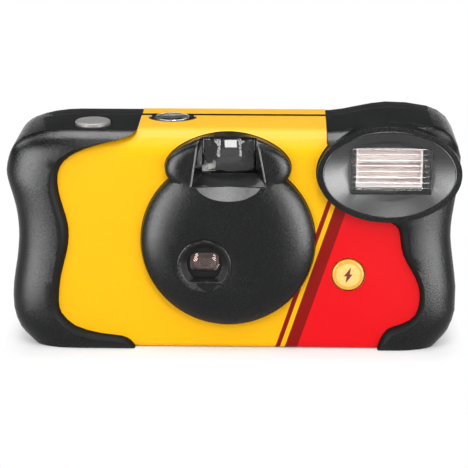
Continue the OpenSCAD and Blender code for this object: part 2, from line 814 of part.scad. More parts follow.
module main_frame() {
    gate = [36, 24];
    tunnel = [8, 7];
    skin = 1;
    left = cart_x + cart_r + chamber_gap + chamber_t - 0.2;
    right = roll_x - roll_chamber_r - 2;
    gate_end = roll_x - 6.9;
    board_x = [lens_x - 14.6, lens_x + 15.4];
    shelf_front = -5;
    tongue_a = 4;
    tray_z = gate_z0 - 1.4;
    tray_a = 9;
    chamber_x = cart_x + 6.5;
    chamber_front = -9;
    post_t = 1.2;
    post_a = 1.6;
    bridge_t = 1.3;
    bridge_z = wheel_top + chamber_gap;
    lug_a = 1.5;
    lug_t = 1.2;
    lug_gap = 0.2;
    lug_z = [plate_z, lever_z + 1.8];
    foot_w = 4;
    cell_wall_top = cell_z + 6.1;
    color([0.16, 0.16, 0.17])
        difference() {
            union() {
                box([left, gate_end], [gate_y - gate_t, gate_y], [gate_z0, plate_z + bite]);
                // light tunnel
                hull() {
                    box([lens_x - gate[0] / 2 - skin, lens_x + gate[0] / 2 + skin],
                        [gate_y - gate_t, gate_y - gate_t + bite],
                        [lens_z - gate[1] / 2 - skin, lens_z + gate[1] / 2 + skin]);
                    box([lens_x - tunnel[0] / 2 - skin, lens_x + tunnel[0] / 2 + skin],
                        [board_y - bite, board_y],
                        [lens_z - tunnel[1] / 2 - skin, lens_z + tunnel[1] / 2 + skin]);
                }
                // shutter board and top plate
                box(board_x, [board_front, board_y], [lens_z - mount_half, plate_top]);
                box([left, right], [board_front, gate_y], [plate_z, plate_top]);
                box([right - 1, roll_x + roll_chamber_r + roll_wall], [shelf_front, gate_y],
                    [plate_z, plate_top]);
                box([vf_x - tongue_a, vf_x + tongue_a], [gate_y - 1, inner_back - label_t - 0.2],
                    [plate_z, plate_top]);
                // cartridge chamber
                intersection() {
                    ring_z(cart_x, cart_y, cart_r + chamber_gap, cart_r + chamber_gap + chamber_t,
                           cart_z0 + 0.6, chamber_top + chamber_roof);
                    box([chamber_x, chamber_x + cart_r], [chamber_front, gate_y - gate_t + bite],
                        [0, deck_z]);
                }
                box([cart_x + cart_r + chamber_gap + 0.6, left + 0.6], [cart_y, gate_y],
                    [gate_z0, plate_top]);
                box([cart_x - cart_r, left + 0.6], [-8, cart_y + 9.5],
                    [chamber_top, chamber_top + chamber_roof]);
                // film roll chamber
                intersection() {
                    ring_z(roll_x, roll_y, roll_chamber_r, roll_chamber_r + roll_wall, tray_z,
                           plate_z + bite);
                    box([roll_x - 14, roll_x + 14], [-12, gate_y - gate_t + 0.4], [0, deck_z]);
                }
                box([roll_x - tray_a, roll_x + tray_a], [roll_y - 6, gate_y - 1], [tray_z, gate_z0]);
                // battery ends
                box([cell_x0 - 2.9, cell_x0 - 0.9], [chamber_front, cart_y + 0.5],
                    [cart_z0 + 0.6, cell_wall_top]);
                box([cell_x0 + cell_l + 0.8, cell_x0 + cell_l + 1.8], [chamber_front, 1],
                    [tray_z, cell_wall_top + 0.5]);
                // bridge over the thumbwheel
                box([cart_x + wheel_r + chamber_gap, cart_x + wheel_r + chamber_gap + post_t],
                    [cart_y - post_a, cart_y + post_a], [plate_z, bridge_z + bridge_t]);
                box([cart_x - 3.5, cart_x + wheel_r + chamber_gap + post_t],
                    [cart_y - post_a, cart_y + post_a], [bridge_z, bridge_z + bridge_t]);
                // bearings of the release lever
                box([lever_x - lug_a, lever_x + lug_a],
                    [lever_y[0] - lug_gap - lug_t, lever_y[0] - lug_gap], lug_z);
                box([lever_x - lug_a, lever_x + lug_a],
                    [lever_y[1] + lug_gap, lever_y[1] + lug_gap + lug_t], lug_z);
                // pins of kicker lever, counter wheel and shutter blade
                rod_z(kick_x, kick_y, kick_pin_r, plate_z, kick_z + kick_t + 0.4);
                rod_z(counter_x, count_y, count_pin_r + 0.4, plate_z, count_z - 0.2);
                rod_z(counter_x, count_y, count_pin_r, plate_z, count_z + count_t + run_gap);
                rod_y(lens_x, blade_pivot_z, blade_pin_r, board_y, board_front - 3.4);
                // feet on the base
                for (x = [-20, 12])
                    box([x, x + foot_w], [gate_y - gate_t, gate_y], [floor_z + 0.2, gate_z0 + 1]);
            }
            hull() {
                box([lens_x - gate[0] / 2, lens_x + gate[0] / 2], [gate_y + bite, gate_y + 2 * bite],
                    [lens_z - gate[1] / 2, lens_z + gate[1] / 2]);
                box([lens_x - tunnel[0] / 2, lens_x + tunnel[0] / 2], [board_y, board_y + bite],
                    [lens_z - tunnel[1] / 2, lens_z + tunnel[1] / 2]);
            }
            rod_y(lens_x, lens_z, 3, board_y + 1, board_front - 1);
            rod_z(sprocket_x, sprocket_y, sprocket_r + chamber_gap, sprocket_z - 0.25, sprocket_z + 2);
            rod_z(sprocket_x, sprocket_y, shaft_r + axle_gap, plate_z - 1, plate_top + 1);
            rod_z(roll_x, roll_y, roll_axle_r + axle_gap, 0, gate_z0 + 1);
            rod_z(roll_x, roll_y, roll_axle_r + axle_gap, plate_z - 1, plate_top + 1);
            rod_z(cart_x, cart_y, hub_r + chamber_gap, chamber_top - 1, chamber_top + 2);
            rod_z(cart_x, cart_y, wheel_axle_r + axle_gap, wheel_top, wheel_top + 3);
            rod_y(lever_x, lever_z, lever_pin_r + axle_gap, 0, -far);
        }
}

module shutter_button() {
    top = deck_z + 0.85;
    edge_r = 0.6;
    crown = 0.25;
    stem_r = 2.2;
    stem_z = lever_z + lever_t / 2 + run_gap;
    flange_r = btn_r + 0.6;
    flange_z = [deck_z - wall - 1.4, deck_z - wall - 0.6];
    color([0.72, 0.72, 0.74])
        translate([btn_x, btn_y, 0])
            rotate_extrude()
                polygon(concat([[0, stem_z], [stem_r, stem_z], [stem_r, flange_z[0]],
                                [flange_r, flange_z[0]], [flange_r, flange_z[1]], [btn_r, flange_z[1]]],
                               arc([btn_r - edge_r, top - edge_r], edge_r, 0, 75, 4),
                               [[btn_r / 2, top + crown * 3 / 4], [0, top + crown]]));
}

module counter_window() {
    edge = deck_z + 0.25;
    crown = 0.55;
    foot = count_z + count_t + 0.15;
    flange_t = 0.35;
    flange = 0.8;
    inset = 0.2;
    color([0.85, 0.87, 0.9, 0.5])
        translate([count_x, count_y, 0])
            rotate_extrude()
                polygon(concat([[0, foot + run_gap], [count_r - inset, foot + run_gap],
                                [count_r - inset, foot], [count_r + flange, foot],
                                [count_r + flange, foot + flange_t], [count_r, foot + flange_t],
                                [count_r, edge]],
                               [for (a = [15 : 15 : 90]) [count_r * cos(a), edge + crown * sin(a)]]));
}

// toothed outline with pointed teeth
module ridged(n, r_tip, r_root) {
    polygon([for (k = [0 : 2 * n - 1]) let (a = 180 * k / n, r = k % 2 == 0 ? r_tip : r_root)
                [r * cos(a), r * sin(a)]]);
}

module counter_wheel() {
    tooth = 0.8;
    color([0.92, 0.92, 0.9])
        translate([counter_x, count_y, count_z])
            difference() {
                linear_extrude(count_t)
                    ridged(counter_teeth, count_tip_r, count_tip_r - tooth);
                rod_z(0, 0, count_pin_r + axle_gap, -1, count_t + 1);
            }
}

key_t = 1.2;
module thumbwheel() {
    ridge = 0.5;
    hub_drop = 1.1;
    bore_r = spool_r + run_gap;
    bore_z = wheel_t - 0.6;
    key_z = [wheel_z + 1, wheel_z + wheel_t - 0.4];
    color([0.13, 0.13, 0.13])
        union() {
            difference() {
                union() {
                    translate([cart_x, cart_y, wheel_z])
                        linear_extrude(wheel_t)
                            ridged(wheel_teeth, wheel_r, wheel_r - ridge);
                    rod_z(cart_x, cart_y, hub_r, wheel_z - hub_drop, wheel_z + 0.5);
                    rod_z(cart_x, cart_y, wheel_axle_r, wheel_z + 1, wheel_top + 1.6);
                }
                rod_z(cart_x, cart_y, bore_r, wheel_z - 2, wheel_z + bore_z);
            }
            box([cart_x - bore_r - bite, cart_x + bore_r + bite], [cart_y - key_t / 2, cart_y + key_t / 2],
                key_z);
        }
}

module cartridge_spool() {
    core = 5.5;
    flange_r = 8;
    flange_t = 1;
    end = 1.6;
    slot_t = key_t + 2 * fit;
    top = wheel_z + wheel_t - 0.8;
    color([0.2, 0.2, 0.2])
        difference() {
            union() {
                rod_z(cart_x, cart_y, spool_r, cart_z0 + 0.2, top);
                rod_z(cart_x, cart_y, core, cart_z0 + end, cart_z1 - end);
                for (z = [cart_z0 + end, cart_z1 - end - flange_t])
                    rod_z(cart_x, cart_y, flange_r, z, z + flange_t);
            }
            box([cart_x - spool_r - 1, cart_x + spool_r + 1], [cart_y - slot_t / 2, cart_y + slot_t / 2],
                [wheel_z + 0.8, top + 1]);
        }
}

shell_r = cart_r - 0.3;
rim_t = 0.6;
module cartridge_shell() {
    tin = 0.4;
    slit = 0.6;
    lip_t = 2.4;
    lip_x = [cart_x + 6.4, cart_x + cart_r + 0.9];
    lip_z = [lens_z - film_w / 2 - 0.4, lens_z + film_w / 2 + 0.4];
    color([0.85, 0.7, 0.15])
        difference() {
            union() {
                rod_z(cart_x, cart_y, shell_r, cart_z0 + rim_t, cart_z1 - rim_t);
                box(lip_x, [film_y - lip_t / 2, film_y + lip_t / 2], lip_z);
            }
            rod_z(cart_x, cart_y, shell_r - tin, cart_z0 - 1, cart_z1 + 1);
            box([lip_x[0] - 2, lip_x[1] + 1], [film_y - slit / 2, film_y + slit / 2],
                [lip_z[0] + 0.2, lip_z[1] - 0.2]);
        }
}

module cartridge_caps() {
    skirt = 2.6;
    bevel = 0.5;
    hole_r = spool_r + chamber_gap;
    color([0.75, 0.75, 0.75])
        for (side = [0, 1])
            translate([cart_x, cart_y, side == 0 ? cart_z0 : cart_z1])
                mirror([0, 0, side])
                    rotate_extrude()
                        polygon([[hole_r, 0], [cart_r - bevel, 0], [cart_r, bevel], [cart_r, skirt],
                                 [shell_r, skirt], [shell_r, rim_t], [hole_r, rim_t]]);
}

module film_strip() {
    pitch = 4.75;
    hole = [2, 2.8];
    edge = 2;
    x0 = cart_x + 9.3;
    first = 1.5;
    count = floor((roll_x - x0 - 2 * first) / pitch);
    color([0.35, 0.25, 0.2])
        difference() {
            box([x0, roll_x], [film_y - film_t / 2, film_y + film_t / 2],
                [lens_z - film_w / 2, lens_z + film_w / 2]);
            for (k = [0 : count], side = [-1, 1])
                translate([x0 + first + pitch * k, film_y, lens_z + side * (film_w / 2 - edge - hole[1] / 2)])
                    cube([hole[0], 2, hole[1]], center = true);
        }
}

module film_roll() {
    color([0.3, 0.22, 0.18])
        ring_z(roll_x, roll_y, core_r, roll_r, lens_z - film_w / 2, lens_z + film_w / 2);
}

module supply_spool() {
    reach = film_w / 2 + film_margin / 2;
    color([0.2, 0.2, 0.2])
        union() {
            rod_z(roll_x, roll_y, core_r, lens_z - reach, lens_z + reach);
            rod_z(roll_x, roll_y, roll_axle_r, lens_z - reach - 1.8, plate_top - 0.2);
        }
}

module sprocket() {
    disc_t = 1.6;
    tooth_h = 1.2;
    tooth_w = 1.4;
    neck_r = 3;
    cam_z = [plate_top + 0.4, plate_top + 2.2];
    cam_flat = 1.8;
    finger = 0.5;
    color([0.85, 0.85, 0.82])
        translate([sprocket_x, sprocket_y, 0])
            difference() {
                union() {
                    rod_z(0, 0, sprocket_r - tooth_h, sprocket_z, sprocket_z + disc_t);
                    for (k = [0 : sprocket_teeth - 1])
                        rotate(360 * k / sprocket_teeth)
                            box([0, sprocket_r], [-tooth_w / 2, tooth_w / 2],
                                [sprocket_z + bite, sprocket_z + disc_t - bite]);
                    rod_z(0, 0, neck_r, sprocket_z, plate_z - run_gap);
                    rod_z(0, 0, shaft_r, sprocket_z, count_z + count_t);
                    rod_z(0, 0, cam_r, cam_z[0], cam_z[1]);
                    // finger that turns the counter wheel
                    box([0, shaft_r + finger], [-finger, finger], [count_z, count_z + count_t]);
                }
                box([cam_flat, cam_r + 1], [-cam_r - 1, cam_r + 1], [cam_z[0] - bite, cam_z[1] + bite]);
            }
}

module kicker_lever() {
    boss_r = 2.2;
    finger_l = 8.6;
    finger_t = 1.2;
    arm_t = 1.6;
    beak_l = 5.8;
    beak_t = 1.4;
    color([0.8, 0.8, 0.78])
        translate([kick_x, kick_y, kick_z])
            difference() {
                union() {
                    rod_z(0, 0, boss_r, 0, kick_t);
                    rotate(-104)
                        box([0, finger_l], [-finger_t / 2, finger_t / 2], [0, kick_t]);
                    box([-kick_arm, 0], [-arm_t / 2, arm_t / 2], [0, kick_t]);
                    translate([-kick_arm + 0.4, 0, 0])
                        rotate(109)
                            box([0, beak_l], [-beak_t / 2, beak_t / 2], [0, kick_t]);
                }
                rod_z(0, 0, kick_pin_r + axle_gap, -1, kick_t + 1);
            }
}

// wire wound about the vertical axis through the origin
module coil(r, wire, turns, pitch) {
    per = 12;
    sides = 6;
    n = floor(turns * per);
    pts = [for (k = [0 : n]) for (s = [0 : sides - 1])
              let (a = 360 * k / per, b = 360 * s / sides, rr = r + wire / 2 * cos(b))
              [rr * cos(a), rr * sin(a), pitch * k / per + wire / 2 * sin(b)]];
    skin = [for (k = [0 : n - 1]) for (s = [0 : sides - 1])
               let (a = k * sides + s, b = k * sides + (s + 1) % sides)
               each [[a, b, b + sides], [a, b + sides, a + sides]]];
    start = [for (s = [1 : sides - 2]) [0, s + 1, s]];
    end = [for (s = [1 : sides - 2]) [n * sides, n * sides + s, n * sides + s + 1]];
    polyhedron(pts, concat(skin, start, end), convexity = 8);
}

module kicker_spring() {
    color([0.6, 0.6, 0.62])
        translate([kick_x, kick_y, plate_top + 0.35])
            coil(kick_pin_r + 0.7, 0.4, 1.5, 0.8);
}

module release_lever() {
    boss_r = 1.6;
    end = 2.3;
    pin_reach = 1.3;
    hook_x = kick_x - kick_arm + 0.5;
    hook_w = [0.6, 0.8];
    hook_y = 1.2;
    color([0.15, 0.15, 0.16])
        union() {
            box([btn_x - end, hook_x + hook_w[1]], lever_y, [lever_z - lever_t / 2, lever_z + lever_t / 2]);
            rod_y(lever_x, lever_z, boss_r, lever_y[1], lever_y[0]);
            rod_y(lever_x, lever_z, lever_pin_r, lever_y[1] + pin_reach, lever_y[0] - pin_reach);
            box([hook_x - hook_w[0], hook_x + hook_w[1]], [lever_y[1] - hook_y, lever_y[1]],
                [kick_z + kick_t + run_gap, lever_z]);
        }
}

module shutter_blade() {
    cover_r = 2.7;
    boss_r = 2.2;
    arm_a = 1.2;
    tab_x = [lens_x - 1.6, lens_x + 1];
    tab_y = 1.4;
    color([0.12, 0.12, 0.13])
        difference() {
            union() {
                rod_y(lens_x, lens_z, cover_r, blade_y, blade_y - blade_t);
                rod_y(lens_x, blade_pivot_z, boss_r, blade_y, blade_y - blade_t);
                box([lens_x - arm_a, lens_x + arm_a], [blade_y - blade_t, blade_y], [lens_z, blade_pivot_z]);
                box(tab_x, [blade_y - blade_t, blade_y], [blade_pivot_z, kick_z + kick_t]);
                box(tab_x, [blade_y - blade_t, blade_y + tab_y], [kick_z, kick_z + kick_t]);
            }
            rod_y(lens_x, blade_pivot_z, blade_pin_r + axle_gap, 0, -far);
        }
}

module shutter_spring() {
    color([0.6, 0.6, 0.62])
        translate([lens_x, blade_y - blade_t - 0.5, blade_pivot_z])
            rotate([90, 0, 0])
                coil(blade_pin_r + 0.6, 0.35, 2.5, 0.8);
}

mount_back = -blade_y + blade_t + 0.4;
mount_front = mount_back + 2.25;
seat_h = mount_back + 0.55;
module lens_mount() {
    x0 = lens_x - 9.6;
    x1 = lens_x + 6.2;
    z = [lens_z - mount_half, lens_z + mount_half];
    post = 1.6;
    light_r = 2.6;
    color([0.14, 0.14, 0.15])
        difference() {
            union() {
                box([x0, x1], [-mount_front, -mount_back], z);
                for (x = [x0, x1 - post])
                    box([x, x + post], [-mount_back - bite, board_front], z);
            }
            rod_y(lens_x, lens_z, lens_r + fit, -seat_h, -far);
            rod_y(lens_x, lens_z, light_r, 0, -far);
        }
}

stop_t = 0.3;
module aperture_disc() {
    stop_r = 1.5;
    color([0.05, 0.05, 0.05])
        difference() {
            rod_y(lens_x, lens_z, lens_r - fit, -seat_h, -seat_h - stop_t);
            rod_y(lens_x, lens_z, stop_r, 0, -far);
        }
}

module taking_lens() {
    curve_r = 2 * lens_r;
    back_h = seat_h + stop_t + 0.05;
    edge_h = mount_front + 0.2;
    color([0.7, 0.75, 0.85, 0.5])
        turned_y(lens_x, lens_z)
            polygon(concat([[0, back_h], [lens_r, back_h]],
                           arc([0, edge_h - curve_r * cos(30)], curve_r, 60, 90, 8)));
}

// rounded rectangle from the origin
module mask_figure(w, h, r) {
    translate([r, r])
        offset(r = r)
            square([w - 2 * r, h - 2 * r]);
}

// cap in front of the lens with a rounded rectangular opening
module lens_retainer() {
    mask_low = 2.1;
    mask_high = 3;
    mask_round = 1.5;
    lip = lens_r - 0.2;
    bore = lens_r + 0.2;
    rim = lens_r + 2.2;
    step_h = mount_front + 1.15;
    top_h = mount_front + 1.5;
    color([0.08, 0.08, 0.08])
        difference() {
            turned_y(lens_x, lens_z)
                polygon([[0, step_h], [bore, step_h], [bore, mount_front], [rim, mount_front],
                         [rim, top_h], [0, top_h]]);
            along_y(0, -top_h - 1)
                translate([lens_x - lip, lens_z - mask_low])
                    mask_figure(2 * lip, mask_low + mask_high, mask_round);
        }
}

module viewfinder_lens() {
    front = -12.2;
    lens_t = 1.6;
    leg_x = [vf_x + 2, vf_x + 6];
    leg_y = [front + 0.6, front + 2.6];
    color([0.85, 0.9, 0.95, 0.4])
        union() {
            box([vf_x - vf_w / 2 + fit, vf_x + vf_w / 2 - fit], [front, front + lens_t],
                [vf_z - vf_h / 2 + fit, vf_z + vf_h / 2 - fit]);
            box(leg_x, leg_y, [plate_top, vf_z - vf_h / 2 + 1]);
        }
}

module eyepiece_lens() {
    seat = inner_back - label_t;
    frame_t = 1.4;
    rim = 1;
    sunk = 0.3;
    color([0.85, 0.9, 0.95, 0.4])
        union() {
            box([vf_x - eye_w / 2 + fit, vf_x + eye_w / 2 - fit], [seat - 1, back_y - sunk],
                [eye_z - eye_h / 2 + fit, eye_z + eye_h / 2 - fit]);
            box([vf_x - eye_w / 2 - rim, vf_x + eye_w / 2 + rim], [seat - fit - frame_t, seat - fit],
                [plate_top, eye_z + eye_h / 2 + rim]);
        }
}

module flash_window() {
    ribs = 7;
    rib_r = 0.3;
    rib_end = 0.5;
    flange = 1;
    flange_y = [-inner_front + 0.25, -inner_front + 0.9];
    oval_in = 3.4;
    front = 15.2;
    color([0.9, 0.93, 0.95, 0.4])
        union() {
            box([flash_cx - flash_w / 2, flash_cx + flash_w / 2], [-front, -inner_front + 0.5],
                [flash_cz - flash_h / 2, flash_cz + flash_h / 2]);
            // flange behind the front wall, within the oval hollow of the pod
            along_y(flange_y[1], flange_y[0])
                intersection() {
                    translate([flash_cx, flash_cz])
                        square([flash_w + 2 * flange, flash_h + 2 * flange], center = true);
                    translate([flash_x, flash_z])
                        scale([(pod_a - oval_in) / (pod_b - oval_in), 1])
                            circle(r = pod_b - oval_in);
                }
            for (k = [1 : ribs])
                rod_x(-front, flash_cz - flash_h / 2 + flash_h * k / (ribs + 1), rib_r,
                      flash_cx - flash_w / 2 + rib_end, flash_cx + flash_w / 2 - rib_end);
        }
}

reflector_front = inner_front - 1;
// clear margins of the window beside and below the reflector
reflector_x = [flash_cx - flash_w / 2 + 1.3, flash_cx + flash_w / 2 - 2.2];
reflector_low = flash_cz - flash_h / 2 + 1.4;
reflector_top = flash_cz + flash_h / 2 - fit;
reflector_z = (reflector_low + reflector_top) / 2;
tube_r = 1.4;
tube_y = -reflector_front + 3.8;
module flash_reflector() {
    t = 0.5;
    depth = 6.2;
    x0 = reflector_x[0];
    x1 = reflector_x[1];
    mouth = (reflector_top - reflector_low) / 2;
    heel = 2.2;
    y0 = -reflector_front;
    y1 = y0 + depth;
    color([0.9, 0.9, 0.92])
        difference() {
            along_x(x0, x1)
                polygon([[y0, reflector_z - mouth], [y1, reflector_z - heel], [y1, reflector_z + heel],
                         [y0, reflector_z + mouth]]);
            along_x(x0 + t, x1 - t)
                polygon([[y0 - 1, reflector_z - mouth], [y1 - t, reflector_z - heel + t],
                         [y1 - t, reflector_z + heel - t], [y0 - 1, reflector_z + mouth]]);
            rod_x(tube_y, reflector_z, tube_r + run_gap, x0 - 1, x1 + 1);
        }
}

module flash_tube() {
    reach = 1.6;
    color([0.9, 0.93, 0.95, 0.5])
        rod_x(tube_y, reflector_z, tube_r, reflector_x[0] - reach, reflector_x[1] + reach);
}

module circuit_board() {
    right = roll_x + 9.9;
    low = 8;
    step_x = pcb_left + 12;
    step_z = cell_z + cell_r + 1.2;
    lamp_x = [pipe_x - 3.6, pipe_x + 1.8];
    lamp_top = pipe_z + 4;
    color([0.72, 0.56, 0.3])
        along_y(pcb_y, pcb_face)
            polygon([[pcb_left, step_z], [step_x, step_z], [step_x, low], [right, low], [right, pcb_top],
                     [lamp_x[1], pcb_top], [lamp_x[1], lamp_top], [lamp_x[0], lamp_top],
                     [lamp_x[0], pcb_top], [pcb_left, pcb_top]]);
}

module flash_capacitor() {
    y = 5;
    z0 = 8;
    lead_r = 0.35;
    lead_l = 3.5;
    lead_x = 2.5;
    color([0.1, 0.1, 0.12])
        union() {
            rod_z(cap_x, y, cap_r, z0, z0 + cap_l);
            for (dx = [-lead_x, lead_x])
                rod_z(cap_x + dx, y, lead_r, z0 + cap_l - bite, z0 + cap_l + lead_l);
        }
}

module transformer() {
    size = [8.8, 7.5, 9];
    foot = [1.4, 1, 7];
    x0 = pcb_left + 0.6;
    z0 = lens_z + 1.3;
    color([0.35, 0.3, 0.15])
        union() {
            box([x0, x0 + size[0]], [pcb_y + foot[1], pcb_y + foot[1] + size[1]], [z0, z0 + size[2]]);
            for (x = [x0 + 0.8, x0 + size[0] - 0.8 - foot[0]])
                box([x, x + foot[0]], [pcb_y, pcb_y + foot[1] + bite], [z0 + 1, z0 + 1 + foot[2]]);
        }
}

module trigger_coil() {
    r = 2.4;
    l = 7;
    x0 = pcb_left + 1;
    color([0.7, 0.4, 0.15])
        rod_x(pcb_y + r + fit, pcb_top - r - 1.3, r, x0, x0 + l);
}

module board_parts() {
    chip = [4, 2.6, 4.5];
    chip_at = [pcb_left + 2, lens_z - 5.2];
    film_cap = [4, 2, 3.6];
    film_cap_at = [pcb_left + 15.5, 10];
    disc_r = 2.4;
    disc_t = 1.6;
    disc_at = [pcb_left + 21, lens_z + 9.3];
    resistor_r = 1;
    resistor_z = [lens_z + 6.3, lens_z + 13.3];
    color([0.25, 0.2, 0.15])
        union() {
            box([chip_at[0], chip_at[0] + chip[0]], [pcb_face - chip[1], pcb_face],
                [chip_at[1], chip_at[1] + chip[2]]);
            box([film_cap_at[0], film_cap_at[0] + film_cap[0]], [pcb_face - film_cap[1], pcb_face],
                [film_cap_at[1], film_cap_at[1] + film_cap[2]]);
            rod_y(disc_at[0], disc_at[1], disc_r, pcb_face, pcb_face - disc_t);
            for (x = [4, 12, 27])
                rod_z(pcb_left + x, pcb_face - resistor_r, resistor_r, resistor_z[0], resistor_z[1]);
        }
}

lamp_l = 4.4;
module ready_lamp() {
    lamp_r = 1.4;
    color([0.95, 0.6, 0.3, 0.6])
        rod_y(pipe_x, pipe_z, lamp_r, pcb_y + lamp_l, pcb_y);
}

module light_pipe() {
    proud = 0.4;
    color([0.95, 0.55, 0.2, 0.6])
        rod_y(pipe_x, pipe_z, pipe_r, back_y + proud, pcb_y + lamp_l + 0.2);
}

flange_t = 0.7;
flange_h = inner_front - 0.25;
module flash_button() {
    flange_r = fbtn_r + 1;
    edge_r = 0.4;
    crown = 0.75;
    color([1, 0.85, 0.35])
        turned_y(fbtn_x, fbtn_z)
            polygon(concat([[0, flange_h - flange_t], [flange_r, flange_h - flange_t],
                            [flange_r, flange_h], [fbtn_r, flange_h]],
                           arc([fbtn_r - edge_r, front_y + edge_r / 2], edge_r, 0, 80, 3),
                           [[0, front_y + crown]]));
}

module flash_switch() {
    y0 = -(flange_h - flange_t - fbtn_travel - 0.15);
    leaf_x = [fbtn_x - 2.5, fbtn_x + 7];
    foot_w = 1.5;
    z = [fbtn_z - 1.5, fbtn_z + 1.5];
    color([0.8, 0.65, 0.3])
        union() {
            box(leaf_x, [y0, y0 + leaf_t], z);
            box([leaf_x[1] - foot_w, leaf_x[1]], [y0 + bite, pcb_face], z);
        }
}

module sync_contact() {
    z = [lens_z + 11.5, lens_z + 13.9];
    y0 = board_y + run_gap;
    leaf_x = [lens_x + 8.9, pcb_left + 1.6];
    foot_w = 1.4;
    color([0.8, 0.65, 0.3])
        union() {
            box(leaf_x, [y0, y0 + leaf_t], z);
            box([leaf_x[1] - foot_w, leaf_x[1]], [y0 + bite, pcb_face], z);
        }
}

module battery() {
    color([0.2, 0.2, 0.22])
        rod_x(cell_y, cell_z, cell_r, cell_x0, cell_x0 + cell_l - nub);
}

module battery_terminal() {
    nub_r = 2.7;
    color([0.8, 0.8, 0.82])
        rod_x(cell_y, cell_z, nub_r, cell_x0 + cell_l - nub, cell_x0 + cell_l);
}

module positive_contact() {
    x0 = cell_x0 + cell_l + fit;
    a = 4;
    z = [cell_z - 3.9, cell_z + 8];
    color([0.8, 0.65, 0.3])
        box([x0, x0 + leaf_t], [cell_y - a, cell_y + a], z);
}

module negative_contact() {
    x0 = cell_x0 - fit - leaf_t;
    x1 = cell_x0 + cell_l + 2.3;
    y0 = -(inner_front - 0.4);
    a = 4;
    strap = [floor_z + 1.9, floor_z + 3.9];
    rise = cell_z + 1.1;
    w = 0.8;
    tab = 1.4;
    color([0.8, 0.65, 0.3])
        union() {
            box([x0, x0 + leaf_t], [cell_y - a, cell_y + a], [strap[0], cell_z + a]);
            box([x0, x0 + leaf_t], [y0, cell_y - a + 1], strap);
            box([x0, x1 + w], [y0, y0 + leaf_t], strap);
            box([x1, x1 + w], [y0, y0 + leaf_t], [strap[0], rise]);
            box([x1, x1 + w], [y0 + bite, pcb_face], [rise - tab, rise]);
        }
}

front_cover();
rear_cover();
film_door();
front_label();
rear_label();
main_frame();
shutter_button();
counter_window();
counter_wheel();
thumbwheel();
cartridge_spool();
cartridge_shell();
cartridge_caps();
film_strip();
film_roll();
supply_spool();
sprocket();
kicker_lever();
kicker_spring();
release_lever();
shutter_blade();
shutter_spring();
lens_mount();
aperture_disc();
taking_lens();
lens_retainer();
viewfinder_lens();
eyepiece_lens();
flash_window();
flash_reflector();
flash_tube();
circuit_board();
flash_capacitor();
transformer();
trigger_coil();
board_parts();
ready_lamp();
light_pipe();
flash_button();
flash_switch();
sync_contact();
battery();
battery_terminal();
positive_contact();
negative_contact();
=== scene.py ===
import math

import bpy
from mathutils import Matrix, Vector


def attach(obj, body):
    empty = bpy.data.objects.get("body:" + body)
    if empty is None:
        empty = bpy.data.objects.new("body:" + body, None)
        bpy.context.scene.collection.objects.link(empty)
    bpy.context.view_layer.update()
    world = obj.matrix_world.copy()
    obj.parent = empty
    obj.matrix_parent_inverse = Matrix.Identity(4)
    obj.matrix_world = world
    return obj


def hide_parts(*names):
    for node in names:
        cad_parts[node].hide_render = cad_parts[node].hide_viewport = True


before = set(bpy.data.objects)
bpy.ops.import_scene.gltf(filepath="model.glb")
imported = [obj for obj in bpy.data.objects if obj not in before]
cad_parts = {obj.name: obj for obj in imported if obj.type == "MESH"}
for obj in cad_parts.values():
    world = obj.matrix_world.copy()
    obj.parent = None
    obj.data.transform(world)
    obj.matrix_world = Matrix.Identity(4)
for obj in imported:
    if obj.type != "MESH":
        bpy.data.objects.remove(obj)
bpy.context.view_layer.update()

# Main frame.
# One black moulding that carries film, shutter and flash. It is injection moulded in
# polystyrene with a plain satin face, and the covers snap round it.
mm = 0.001


def effect_group(name, inputs, outputs):
    """An empty shader node group with named sockets, and its two end nodes."""
    group = bpy.data.node_groups.new(name, "ShaderNodeTree")
    for label, kind in inputs:
        group.interface.new_socket(label, in_out="INPUT", socket_type="NodeSocket" + kind)
    for label, kind in outputs:
        group.interface.new_socket(label, in_out="OUTPUT", socket_type="NodeSocket" + kind)
    return group, group.nodes.new("NodeGroupInput"), group.nodes.new("NodeGroupOutput")


def blend_colours(tree, share, first, second):
    """A mix of two colours, each a link or a fixed colour, by a linked share."""
    mix = tree.nodes.new("ShaderNodeMix")
    mix.data_type = "RGBA"
    ends = {socket.identifier: socket for socket in (*mix.inputs, *mix.outputs)}
    tree.links.new(share, ends["Factor_Float"])
    for name, colour in (("A_Color", first), ("B_Color", second)):
        if isinstance(colour, tuple):
            ends[name].default_value = (*colour, 1)
        else:
            tree.links.new(colour, ends[name])
    return ends["Result_Color"]


def rescale(tree, value, low, high, to_low, to_high):
    """A value stretched from one range to another, where each end is a number or a link."""
    node = tree.nodes.new("ShaderNodeMapRange")
    tree.links.new(value, node.inputs["Value"])
    for name, end in (("From Min", low), ("From Max", high), ("To Min", to_low), ("To Max", to_high)):
        if isinstance(end, (int, float)):
            node.inputs[name].default_value = end
        else:
            tree.links.new(end, node.inputs[name])
    return node.outputs["Result"]


def reckon(tree, operation, first, second):
    """Two linked values made into one by a maths operation."""
    node = tree.nodes.new("ShaderNodeMath")
    node.operation = operation
    tree.links.new(first, node.inputs[0])
    tree.links.new(second, node.inputs[1])
    return node.outputs["Value"]


